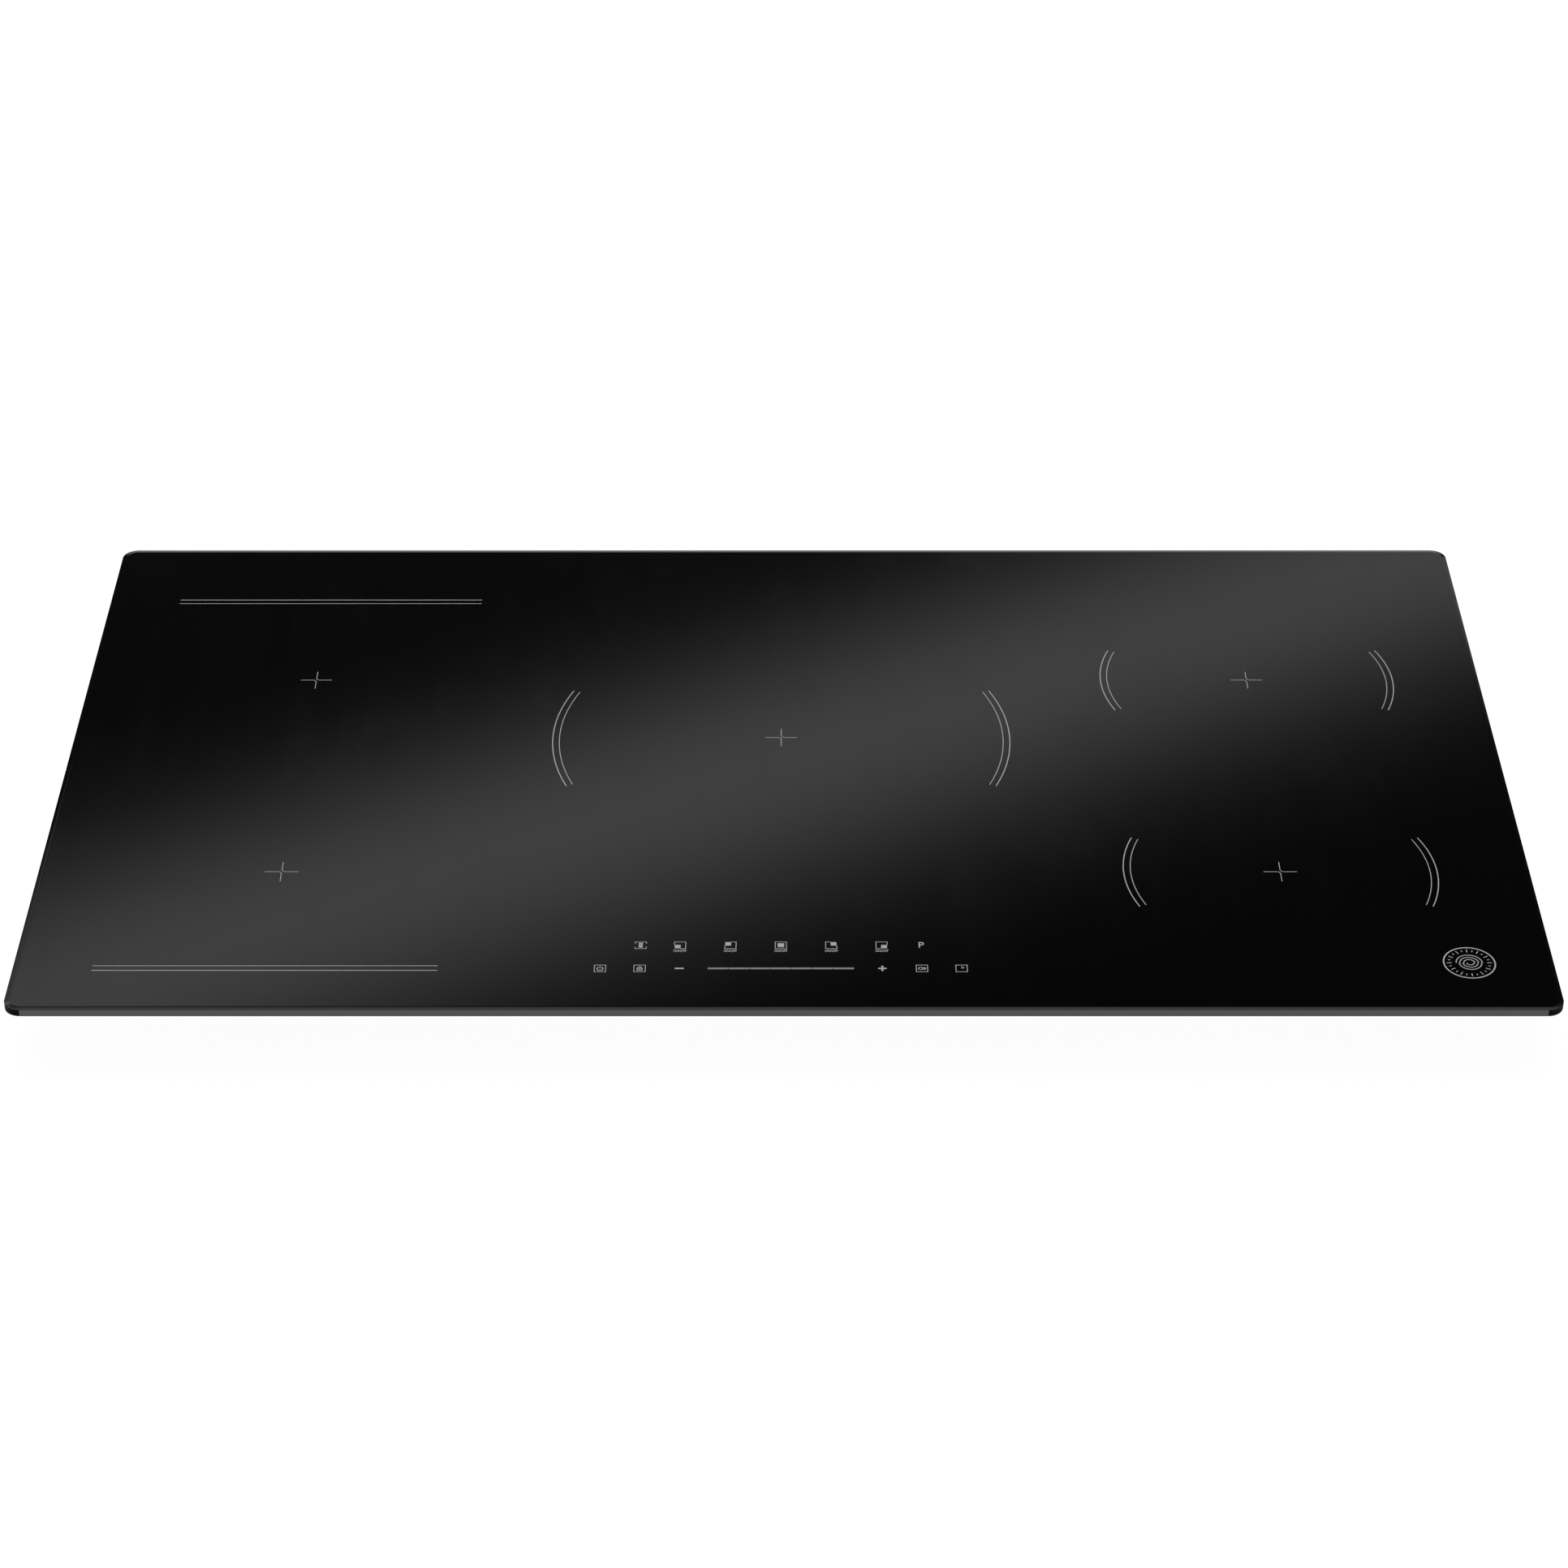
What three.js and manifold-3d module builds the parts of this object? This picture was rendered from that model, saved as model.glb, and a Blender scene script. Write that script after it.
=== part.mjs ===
// Built-in electric induction cooktop for a 900 mm wide kitchen unit.
// Millimetres, +Z up. X runs to the user's right, Y away from the user.
// Origin: centre of the outline, on the underside of the sheet-metal pan.

import * as THREE from 'three';
import { mergeVertices } from 'three/addons/utils/BufferGeometryUtils.js';
import Module from 'manifold-3d';

const wasm = await Module();
wasm.setup();

// ---------------------------------------------------------------- driving dimensions

const HEIGHT = 52; // underside of the pan to the top of the glass
const GAP = 0.3; // clearance between separate pieces that lie against each other
const SHEET = 1; // sheet metal of the pan and the frame
const BOARD = 1.6; // thickness of a circuit board
const OVERCUT = 5; // how far a cutting tool runs past the material

const GLASS = { width: 896, depth: 520, thickness: 4, corner: 10, slopeWidth: 2.6, slopeDrop: 0.3 };
const SEAL = { inset: 3, width: 8, thickness: 2 };
const TRAY = { width: 850, depth: 470, height: 18, corner: 12 }; // shallow upper part of the pan
const BOX = { width: 790, depth: 392, corner: 12, flange: 8 }; // deep lower part of the pan
const SLOTS = { width: 8, pitch: 18, perGroup: 9, bottom: 10, top: 24 }; // air slots of the pan
const FRAME = { clearance: 0.5, flange: 8, flangeThickness: 1.5, leg: 9.7 };

// The five cooking zones: three columns, with the outer ones split into rear and front.
const ZONES = { shiftX: -1.75, pitchX: 300, middleY: -13.9, halfPitchY: 108, centreY: 26.1 };
const COIL = { formerBase: 2, rim: 2, rimHeight: 7.7, hubInner: 12, hubOuter: 15, winding: 5.7, pad: 2.5 };
const ROUND_COIL = { small: 85, large: 134, split: 96 };
const SQUARE_COIL = { width: 192, depth: 204, corner: 60, windowWidth: 44, windowDepth: 56, windowCorner: 18 };
const CARRIER = { thickness: 1.5, span: 424, foot: 14, outerWidth: 206, centreWidth: 286, holeRadius: 8 };
const SENSOR = { footRadius: 9, footHeight: 1.5, stemRadius: 4, headRadius: 7, headHeight: 3 };

// Two power modules side by side, and the mains filter board to their right.
const MODULE = { leftX: -250, rightX: 50, width: 230, frontY: -180, rearY: 172, rim: 1.5, rimHeight: 5 };
const POWER_BOARD = { width: 218, depth: 226, frontY: -172, holeInset: 10, holeRadius: 1.8 };
const POST_RADIUS = 4; // posts that the boards stand on
const HEAT_SINK = { width: 70, depth: 178, shiftX: 18, frontY: -150, base: 4, height: 20, fins: 11, fin: 1.6 };
const BLOWER = { y: 112, inletRadius: 30, startRadius: 39, growth: 8, wall: 1.5, height: 24, outletEndY: 58 };
const ROTOR = { radius: 35, bladeInner: 26, blades: 15, blade: 1.2, lean: 0.6, disc: 1.5, height: 17 };
const MOTOR = { bossRadius: 11, bossDepth: 9, cupInner: 12.2, cupOuter: 14.2, shaft: 1.5, shaftHole: 1.9 };
const GRILLE = { radius: 37, thickness: 1.5, bar: 2, bars: 7, clearance: 0.5 };
const FILTER = { x: 288, y: 78, width: 176, depth: 196, margin: 6, postInset: 14, rimHeight: 5, rim: 1.5 };
const CHOKE = { x: 255, y: 60, inner: 11, outer: 26, height: 16, chamfer: 2 };

const HARNESS = { radius: 4, hole: 6, z: 14, endY: 150, endZ: 12.5 };
const TERMINAL = { x: 315, width: 130, rearY: 231, wall: 2, bottom: 2.5, entryRadius: 8, entryZ: 15 };
const BLOCK = { ways: 6, pitch: 13, setback: 12, depth: 16, bottom: 6, top: 16, wall: 1.5, wallTop: 21 };
const LID = { thickness: 2, hingeZ: 5, barrel: 2.8, bore: 1.6, pin: 1.25, lug: 8, pull: 24, pullHeight: 2.5 };
const CONTROL = { width: 250, frontY: -224.8, rearY: -187, bottom: 38.4, wall: 1.5, boardTop: 44.6 };
const GUIDE = { width: 87, depth: 5, y: -220 }; // light guide behind the power slider
const CLAMP = { x: 410, y: 130, reach: 50, width: 14, thickness: 2, bottom: 9, padRise: 7, padLength: 9 };
const SCREW = { radius: 2.2, hole: 2.6, headRadius: 4.5, headHeight: 3.2, tip: 35 };

// Heights that follow from the dimensions above.
const GLASS_UNDER = HEIGHT - GLASS.thickness;
const PAN_TOP = GLASS_UNDER - GAP;
const STEP_UNDER = GLASS_UNDER - TRAY.height;
const STEP_TOP = STEP_UNDER + SHEET;
const BOX_TOP = STEP_UNDER - GAP;
const TERMINAL_TOP = BOX_TOP - SHEET - GAP;
const PAD_BOTTOM = PAN_TOP - COIL.pad;
const WINDING_TOP = PAD_BOTTOM - GAP;
const WINDING_BOTTOM = WINDING_TOP - COIL.winding;
const FORMER_BOTTOM = WINDING_BOTTOM - GAP - COIL.formerBase;
const CARRIER_TOP = FORMER_BOTTOM - GAP;
const FLOOR = SHEET + GAP; // where parts lie on the bottom of the pan
const BOARD_BOTTOM = FLOOR + MODULE.rim + 3.5;
const BOARD_TOP = BOARD_BOTTOM + BOARD;

const LEFT_X = ZONES.shiftX - ZONES.pitchX;
const RIGHT_X = ZONES.shiftX + ZONES.pitchX;
const REAR_Y = ZONES.middleY + ZONES.halfPitchY;
const FRONT_Y = ZONES.middleY - ZONES.halfPitchY;

// ---------------------------------------------------------------- finishes

const FINISH = {
  blackGlass: { color: 0x07080a, roughness: 0.06, metalness: 0 },
  foam: { color: 0x1b1b1c, roughness: 0.95, metalness: 0 },
  galvanised: { color: 0xb4b8bb, roughness: 0.42, metalness: 0.9 },
  aluminium: { color: 0xc3c5c8, roughness: 0.35, metalness: 1 },
  zincSteel: { color: 0xa7a9a6, roughness: 0.35, metalness: 1 },
  copper: { color: 0xa75f38, roughness: 0.45, metalness: 0.7 },
  fibre: { color: 0xe6e2d6, roughness: 0.95, metalness: 0 },
  blackPlastic: { color: 0x1e1f21, roughness: 0.6, metalness: 0 },
  greyPlastic: { color: 0x73777b, roughness: 0.6, metalness: 0 },
  whitePlastic: { color: 0xdcdcd8, roughness: 0.5, metalness: 0 },
  board: { color: 0x1f5a38, roughness: 0.5, metalness: 0 },
  ferrite: { color: 0x39383a, roughness: 0.7, metalness: 0.1 },
  cable: { color: 0x8a8d90, roughness: 0.6, metalness: 0 },
};

// ---------------------------------------------------------------- shape helpers

function roundedRectangle(width, depth, corner, x = 0, y = 0) {
  const right = x + width / 2 - corner;
  const left = x - width / 2 + corner;
  const rear = y + depth / 2 - corner;
  const front = y - depth / 2 + corner;
  const shape = new THREE.Shape();
  shape.absarc(right, front, corner, -Math.PI / 2, 0, false);
  shape.absarc(right, rear, corner, 0, Math.PI / 2, false);
  shape.absarc(left, rear, corner, Math.PI / 2, Math.PI, false);
  shape.absarc(left, front, corner, Math.PI, 1.5 * Math.PI, false);
  shape.closePath();
  return shape;
}

function circle(radius, x = 0, y = 0) {
  const shape = new THREE.Shape();
  shape.absarc(x, y, radius, 0, 2 * Math.PI, false);
  return shape;
}

// Extrudes a plan outline from height bottom to height top.
function slab(shape, bottom, top, steps = 8) {
  const geometry = new THREE.ExtrudeGeometry(shape, {
    depth: top - bottom,
    bevelEnabled: false,
    curveSegments: steps,
  });
  return geometry.translate(0, 0, bottom);
}

// Extrudes an outline drawn in (Y, Z) along X.
function alongX(shape, x0, x1, steps = 5) {
  const geometry = new THREE.ExtrudeGeometry(shape, {
    depth: x1 - x0,
    bevelEnabled: false,
    curveSegments: steps,
  });
  geometry.rotateY(Math.PI / 2);
  geometry.rotateX(Math.PI / 2);
  return geometry.translate(x0, 0, 0);
}

// Extrudes an outline drawn in (X, Z) along Y.
function alongY(shape, y0, y1, steps = 5) {
  const geometry = new THREE.ExtrudeGeometry(shape, {
    depth: y1 - y0,
    bevelEnabled: false,
    curveSegments: steps,
  });
  geometry.rotateX(Math.PI / 2);
  return geometry.translate(0, y1, 0);
}

function block(x0, y0, z0, x1, y1, z1) {
  const geometry = new THREE.BoxGeometry(x1 - x0, y1 - y0, z1 - z0);
  return geometry.translate((x0 + x1) / 2, (y0 + y1) / 2, (z0 + z1) / 2);
}

// Upright round bar or disc.
function post(radius, bottom, top, x = 0, y = 0, sides = 24) {
  const geometry = new THREE.CylinderGeometry(radius, radius, top - bottom, sides);
  geometry.rotateX(Math.PI / 2);
  return geometry.translate(x, y, (bottom + top) / 2);
}

// Round piece from a closed outline of [radius, height] points, turned about a vertical axis.
function turned(points, x = 0, y = 0, sides = 32) {
  const area = THREE.ShapeUtils.area(points.map(([r, z]) => new THREE.Vector2(r, z)));
  const ordered = area > 0 ? points : [...points].reverse();
  const outline = [...ordered, ordered[0]].map(([r, z]) => new THREE.Vector2(r, z));
  const geometry = new THREE.LatheGeometry(outline, sides);
  geometry.rotateX(Math.PI / 2);
  return geometry.translate(x, y, 0);
}

function toSolid(geometry) {
  const bare = geometry.clone();
  bare.deleteAttribute('normal');
  bare.deleteAttribute('uv');
  const merged = mergeVertices(bare, 1e-4);
  return new wasm.Manifold(
    new wasm.Mesh({
      numProp: 3,
      vertProperties: new Float32Array(merged.attributes.position.array),
      triVerts: new Uint32Array(merged.index.array),
    }),
  );
}

function toGeometry(solid) {
  const mesh = solid.getMesh();
  const geometry = new THREE.BufferGeometry();
  geometry.setAttribute('position', new THREE.BufferAttribute(mesh.vertProperties, 3));
  geometry.setIndex(new THREE.BufferAttribute(mesh.triVerts, 1));
  geometry.computeVertexNormals();
  return geometry;
}

// Joins the additions and then takes the cuts away.
function carve(additions, cuts = []) {
  const joined = additions.map(toSolid).reduce((whole, next) => whole.add(next));
  return toGeometry(cuts.map(toSolid).reduce((whole, cut) => whole.subtract(cut), joined));
}

const cooktop = new THREE.Group();

function piece(name, geometry, finish) {
  const mesh = new THREE.Mesh(geometry, new THREE.MeshStandardMaterial(finish));
  mesh.name = name;
  cooktop.add(mesh);
  return mesh;
}

// ---------------------------------------------------------------- glass and what holds it

// Flat plate whose top falls away gently in a narrow strip along the whole edge.
function glassTop() {
  const { width, depth, corner, slopeWidth, slopeDrop } = GLASS;
  const inner = roundedRectangle(width - 2 * slopeWidth, depth - 2 * slopeWidth, corner - slopeWidth);
  const sloped = new THREE.ExtrudeGeometry(inner, {
    depth: GLASS.thickness - 2 * slopeDrop,
    bevelThickness: slopeDrop,
    bevelSize: slopeWidth,
    bevelSegments: 1,
    curveSegments: 8,
  });
  sloped.translate(0, 0, GLASS_UNDER + slopeDrop);
  const lower = slab(roundedRectangle(width, depth, corner), GLASS_UNDER, HEIGHT - slopeDrop, 8);
  return carve([sloped, lower]);
}

function worktopSeal() {
  const width = GLASS.width - 2 * SEAL.inset;
  const depth = GLASS.depth - 2 * SEAL.inset;
  const corner = GLASS.corner - SEAL.inset;
  const strip = roundedRectangle(width, depth, corner);
  strip.holes.push(roundedRectangle(width - 2 * SEAL.width, depth - 2 * SEAL.width, 2));
  return slab(strip, PAN_TOP - SEAL.thickness, PAN_TOP, 4);
}

// Angle-section frame bonded under the glass. Its legs stand just inside the walls of the tray.
function glassFrame() {
  const inset = 2 * (SHEET + FRAME.clearance);
  const width = TRAY.width - inset;
  const depth = TRAY.depth - inset;
  const outer = roundedRectangle(width, depth, TRAY.corner - 1.5);
  const leg = slab(outer, PAN_TOP - FRAME.leg, PAN_TOP, 5);
  const legHole = roundedRectangle(width - 2 * SHEET, depth - 2 * SHEET, TRAY.corner - 2.5);
  const legCut = slab(legHole, 0, PAN_TOP - FRAME.flangeThickness, 5);
  const flangeHole = roundedRectangle(width - 2 * FRAME.flange, depth - 2 * FRAME.flange, 4);
  return carve([leg], [legCut, slab(flangeHole, 0, HEIGHT, 5)]);
}

// ---------------------------------------------------------------- pan

// Upright air slots through the front and rear walls of the deep part, in front of each module.
function airSlots() {
  const cuts = [];
  const wallY = BOX.depth / 2;
  for (const x of [MODULE.leftX, MODULE.rightX]) {
    for (let index = 0; index < SLOTS.perGroup; index += 1) {
      const slotX = x + (index - (SLOTS.perGroup - 1) / 2) * SLOTS.pitch;
      const x0 = slotX - SLOTS.width / 2;
      cuts.push(block(x0, -wallY - OVERCUT, SLOTS.bottom, x0 + SLOTS.width, OVERCUT - wallY, SLOTS.top));
      cuts.push(block(x0, wallY - OVERCUT, SLOTS.bottom, x0 + SLOTS.width, wallY + OVERCUT, SLOTS.top));
    }
  }
  return cuts;
}

// Shallow upper part of the pan. Its floor is a step that carries the coils, open in the middle.
function baseTray() {
  const { width, depth, corner } = TRAY;
  const inset = 2 * SHEET;
  const outside = slab(roundedRectangle(width, depth, corner), STEP_UNDER, PAN_TOP, 5);
  const cuts = [
    slab(roundedRectangle(width - inset, depth - inset, corner - SHEET), STEP_TOP, HEIGHT, 5),
    slab(roundedRectangle(BOX.width - inset, BOX.depth - inset, BOX.corner - SHEET), 0, HEIGHT, 5),
  ];
  for (const x of [-CLAMP.x, CLAMP.x]) {
    for (const y of [-CLAMP.y, CLAMP.y]) {
      cuts.push(post(SCREW.hole, STEP_UNDER - OVERCUT, STEP_TOP + OVERCUT, x, y, 12));
    }
  }
  return carve([outside], cuts);
}

// Deep lower part of the pan, hung from the step by the flange round its top.
function baseBox() {
  const { width, depth, corner, flange } = BOX;
  const inset = 2 * SHEET;
  const outside = [
    slab(roundedRectangle(width, depth, corner), 0, BOX_TOP, 5),
    slab(
      roundedRectangle(width + 2 * flange, depth + 2 * flange, corner + flange),
      BOX_TOP - SHEET,
      BOX_TOP,
      5,
    ),
  ];
  const cuts = [slab(roundedRectangle(width - inset, depth - inset, corner - SHEET), SHEET, HEIGHT, 5)];
  for (const x of [MODULE.leftX, MODULE.rightX]) {
    cuts.push(post(BLOWER.inletRadius, -OVERCUT, OVERCUT, x, BLOWER.y, 24));
  }
  const wireHole = circle(HARNESS.hole, TERMINAL.x, HARNESS.z);
  cuts.push(alongY(wireHole, depth / 2 - OVERCUT, depth / 2 + OVERCUT));
  return carve(outside, [...cuts, ...airSlots()]);
}

// Finger guard over a fan inlet: a ring crossed by parallel bars and one tie bar.
function fanGrille(x) {
  const { radius, bar, bars, thickness } = GRILLE;
  const top = FLOOR + thickness;
  const rimOutline = [
    [radius - bar, FLOOR],
    [radius, FLOOR],
    [radius, top],
    [radius - bar, top],
  ];
  const parts = [turned(rimOutline, 0, 0, 24), block(-bar / 2, 1 - radius, FLOOR, bar / 2, radius - 1, top)];
  const pitch = (2 * radius) / (bars + 1);
  for (let index = 1; index <= bars; index += 1) {
    const y = index * pitch - radius;
    const half = Math.sqrt(radius ** 2 - y ** 2) - 1;
    parts.push(block(-half, y - bar / 2, FLOOR, half, y + bar / 2, top));
  }
  return carve(parts).translate(x, BLOWER.y, 0);
}

// ---------------------------------------------------------------- coils

// Hat-section strip that spans the deep box and stands on the step of the pan with both feet.
function coilCarrier(x, width, holeYs) {
  const { thickness, span, foot } = CARRIER;
  const under = CARRIER_TOP - thickness;
  const footBottom = STEP_TOP + GAP;
  const half = span / 2;
  const outline = new THREE.Shape();
  outline.moveTo(-half - foot, footBottom);
  outline.lineTo(-half + thickness, footBottom);
  outline.lineTo(-half + thickness, under);
  outline.lineTo(half - thickness, under);
  outline.lineTo(half - thickness, footBottom);
  outline.lineTo(half + foot, footBottom);
  outline.lineTo(half + foot, footBottom + thickness);
  outline.lineTo(half, footBottom + thickness);
  outline.lineTo(half, CARRIER_TOP);
  outline.lineTo(-half, CARRIER_TOP);
  outline.lineTo(-half, footBottom + thickness);
  outline.lineTo(-half - foot, footBottom + thickness);
  outline.closePath();
  const strip = alongX(outline, x - width / 2, x + width / 2);
  const holes = holeYs.map((y) => post(CARRIER.holeRadius, STEP_UNDER, HEIGHT, x, y, 20));
  return carve([strip], holes);
}

// Round dish with a hub, and a dividing rim where it holds two windings.
function roundFormer(x, y, radius, split) {
  const base = FORMER_BOTTOM;
  const floor = base + COIL.formerBase;
  const top = base + COIL.rimHeight;
  const outline = [
    [COIL.hubInner, base],
    [radius + GAP + COIL.rim, base],
    [radius + GAP + COIL.rim, top],
    [radius + GAP, top],
    [radius + GAP, floor],
  ];
  if (split) {
    outline.push([split + COIL.rim, floor], [split + COIL.rim, top], [split, top], [split, floor]);
  }
  outline.push([COIL.hubOuter, floor], [COIL.hubOuter, top], [COIL.hubInner, top]);
  return turned(outline, x, y);
}

function roundWinding(x, y, inner, outer) {
  const outline = [
    [inner, WINDING_BOTTOM],
    [outer, WINDING_BOTTOM],
    [outer, WINDING_TOP],
    [inner, WINDING_TOP],
  ];
  return turned(outline, x, y);
}

function roundPad(x, y, radius) {
  const outline = [
    [COIL.hubInner, PAD_BOTTOM],
    [radius, PAD_BOTTOM],
    [radius, PAN_TOP],
    [COIL.hubInner, PAN_TOP],
  ];
  return turned(outline, x, y);
}

function squareOutline(grow) {
  const { width, depth, corner } = SQUARE_COIL;
  return roundedRectangle(width + 2 * grow, depth + 2 * grow, corner + grow);
}

function squareWindow(grow) {
  const { windowWidth, windowDepth, windowCorner } = SQUARE_COIL;
  return roundedRectangle(windowWidth + 2 * grow, windowDepth + 2 * grow, windowCorner + grow);
}

// Dish with rounded corners and a low wall round its window, for one half of the bridge zone.
function squareFormer(x, y) {
  const top = FORMER_BOTTOM + COIL.rimHeight;
  const floor = FORMER_BOTTOM + COIL.formerBase;
  const outer = slab(squareOutline(GAP + COIL.rim), FORMER_BOTTOM, top, 5);
  const channel = squareOutline(GAP);
  channel.holes.push(squareWindow(-GAP));
  const cuts = [slab(channel, floor, HEIGHT, 5), slab(squareWindow(-GAP - COIL.rim), 0, HEIGHT, 5)];
  return carve([outer], cuts).translate(x, y, 0);
}

function squareWinding(x, y) {
  const turns = squareOutline(0);
  turns.holes.push(squareWindow(0));
  return slab(turns, WINDING_BOTTOM, WINDING_TOP, 5).translate(x, y, 0);
}

function squarePad(x, y) {
  const pad = squareOutline(0);
  pad.holes.push(circle(COIL.hubInner));
  return slab(pad, PAD_BOTTOM, PAN_TOP, 5).translate(x, y, 0);
}

// Temperature sensor that stands on the carrier and touches the glass through the hub.
function sensor(x, y) {
  const { footRadius, footHeight, stemRadius, headRadius, headHeight } = SENSOR;
  const bottom = CARRIER_TOP + GAP;
  const outline = [
    [0, bottom],
    [footRadius, bottom],
    [footRadius, bottom + footHeight],
    [stemRadius, bottom + footHeight],
    [stemRadius, PAN_TOP - headHeight],
    [headRadius, PAN_TOP - headHeight],
    [headRadius, PAN_TOP],
    [0, PAN_TOP],
  ];
  const points = outline.map(([r, z]) => new THREE.Vector2(r, z));
  const geometry = new THREE.LatheGeometry(points, 12);
  geometry.rotateX(Math.PI / 2);
  return geometry.translate(x, y, 0);
}

// ---------------------------------------------------------------- power modules

// Plastic tray that carries one power board and one blower.
function moduleTray(x) {
  const { width, frontY, rearY, rim, rimHeight } = MODULE;
  const middleY = (frontY + rearY) / 2;
  const outer = roundedRectangle(width, rearY - frontY, 6, x, middleY);
  const inner = roundedRectangle(width - 2 * rim, rearY - frontY - 2 * rim, 4.5, x, middleY);
  const plate = slab(outer, FLOOR, FLOOR + rimHeight, 3);
  const cuts = [
    slab(inner, FLOOR + rim, HEIGHT, 3),
    post(GRILLE.radius + GRILLE.clearance, 0, HEIGHT, x, BLOWER.y, 24),
  ];
  const dish = toSolid(carve([plate], cuts));
  const inset = POWER_BOARD.holeInset;
  const boardRear = POWER_BOARD.frontY + POWER_BOARD.depth;
  const posts = [];
  for (const side of [-1, 1]) {
    for (const y of [POWER_BOARD.frontY + inset, boardRear - inset]) {
      const postX = x + side * (POWER_BOARD.width / 2 - inset);
      posts.push(toSolid(post(POST_RADIUS, FLOOR + 1, BOARD_BOTTOM - GAP, postX, y, 8)));
    }
  }
  return toGeometry(posts.reduce((whole, next) => whole.add(next), dish));
}

function powerBoard(x) {
  const { width, depth, frontY, holeInset, holeRadius } = POWER_BOARD;
  const plate = roundedRectangle(width, depth, 3, x, frontY + depth / 2);
  for (const side of [-1, 1]) {
    for (const y of [frontY + holeInset, frontY + depth - holeInset]) {
      plate.holes.push(circle(holeRadius, x + side * (width / 2 - holeInset), y));
    }
  }
  return slab(plate, BOARD_BOTTOM, BOARD_TOP, 3);
}

// Extruded comb profile with its fins along Y, the way the air blows.
function heatSink(x) {
  const { width, depth, frontY, base, height, fins, fin } = HEAT_SINK;
  const bottom = BOARD_TOP + GAP;
  const pitch = (width - fin) / (fins - 1);
  const outline = new THREE.Shape();
  outline.moveTo(x - width / 2, bottom);
  outline.lineTo(x + width / 2, bottom);
  for (let index = fins - 1; index >= 0; index -= 1) {
    const left = x - width / 2 + index * pitch;
    outline.lineTo(left + fin, bottom + height);
    outline.lineTo(left, bottom + height);
    if (index > 0) {
      outline.lineTo(left, bottom + base);
      outline.lineTo(left - pitch + fin, bottom + base);
    }
  }
  outline.closePath();
  return alongY(outline, frontY, frontY + depth);
}

// Outline of the blower: a spiral that opens into a straight outlet towards the heat sink.
function scroll(offset) {
  const steps = 30;
  const outletEnd = BLOWER.outletEndY - BLOWER.y - (offset < 0 ? OVERCUT : 0);
  const shape = new THREE.Shape();
  shape.moveTo(BLOWER.startRadius + BLOWER.growth + offset, outletEnd);
  for (let index = 0; index <= steps; index += 1) {
    const turn = (index / steps) * 1.5 * Math.PI;
    const radius = BLOWER.startRadius + BLOWER.growth * (1 - index / steps) + offset;
    shape.lineTo(radius * Math.cos(turn), radius * Math.sin(turn));
  }
  shape.lineTo(-offset, outletEnd);
  shape.closePath();
  return shape;
}

function blowerHousing(x) {
  const bottom = FLOOR + MODULE.rim + GAP;
  const top = bottom + BLOWER.height;
  const roof = top - BLOWER.wall;
  const shell = toSolid(
    carve([slab(scroll(BLOWER.wall), bottom, top)], [slab(scroll(-GAP), bottom - OVERCUT, roof)]),
  );
  const boss = toSolid(post(MOTOR.bossRadius, roof - MOTOR.bossDepth, roof + 0.5));
  const hole = toSolid(post(MOTOR.shaftHole, roof - MOTOR.bossDepth - OVERCUT, roof - 1, 0, 0, 12));
  return toGeometry(shell.add(boss).subtract(hole)).translate(x, BLOWER.y, 0);
}

// Impeller: a disc with a ring of leaning blades, a cup round the motor and a short shaft.
function blowerRotor(x) {
  const roof = FLOOR + MODULE.rim + GAP + BLOWER.height - BLOWER.wall;
  const discTop = roof - MOTOR.bossDepth - 1;
  const discBottom = discTop - ROTOR.disc;
  const bladeTop = roof - 2;
  const parts = [
    post(ROTOR.radius, discBottom, discTop, 0, 0, 30),
    post(MOTOR.cupOuter, discBottom, roof - 2.5, 0, 0, 24),
  ];
  const cut = post(MOTOR.cupInner, discTop, roof, 0, 0, 24);
  for (let index = 0; index < ROTOR.blades; index += 1) {
    const blade = new THREE.BoxGeometry(ROTOR.blade, ROTOR.radius - ROTOR.bladeInner, ROTOR.height);
    blade.rotateZ(ROTOR.lean);
    blade.translate(0, (ROTOR.radius + ROTOR.bladeInner) / 2, bladeTop - ROTOR.height / 2);
    blade.rotateZ((index * 2 * Math.PI) / ROTOR.blades);
    parts.push(blade);
  }
  const wheel = toSolid(carve(parts, [cut]));
  const shaft = toSolid(post(MOTOR.shaft, discTop - 0.5, roof - 3, 0, 0, 12));
  return toGeometry(wheel.add(shaft)).translate(x, BLOWER.y, 0);
}

// ---------------------------------------------------------------- mains filter and terminals

function filterTray() {
  const { x, y, width, depth, postInset, rim, rimHeight } = FILTER;
  const plate = slab(roundedRectangle(width, depth, 5, x, y), FLOOR, FLOOR + rimHeight, 3);
  const inner = roundedRectangle(width - 2 * rim, depth - 2 * rim, 5 - rim, x, y);
  const dish = toSolid(carve([plate], [slab(inner, FLOOR + rim, HEIGHT, 3)]));
  const posts = [];
  for (const side of [-1, 1]) {
    for (const end of [-1, 1]) {
      const postX = x + side * (width / 2 - postInset);
      const postY = y + end * (depth / 2 - postInset);
      posts.push(toSolid(post(POST_RADIUS, FLOOR + 1, BOARD_BOTTOM - GAP, postX, postY, 8)));
    }
  }
  return toGeometry(posts.reduce((whole, next) => whole.add(next), dish));
}

function filterBoard() {
  const { x, y, width, depth, margin } = FILTER;
  const plate = roundedRectangle(width - 2 * margin, depth - 2 * margin, 3, x, y);
  return slab(plate, BOARD_BOTTOM, BOARD_TOP, 3);
}

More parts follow.
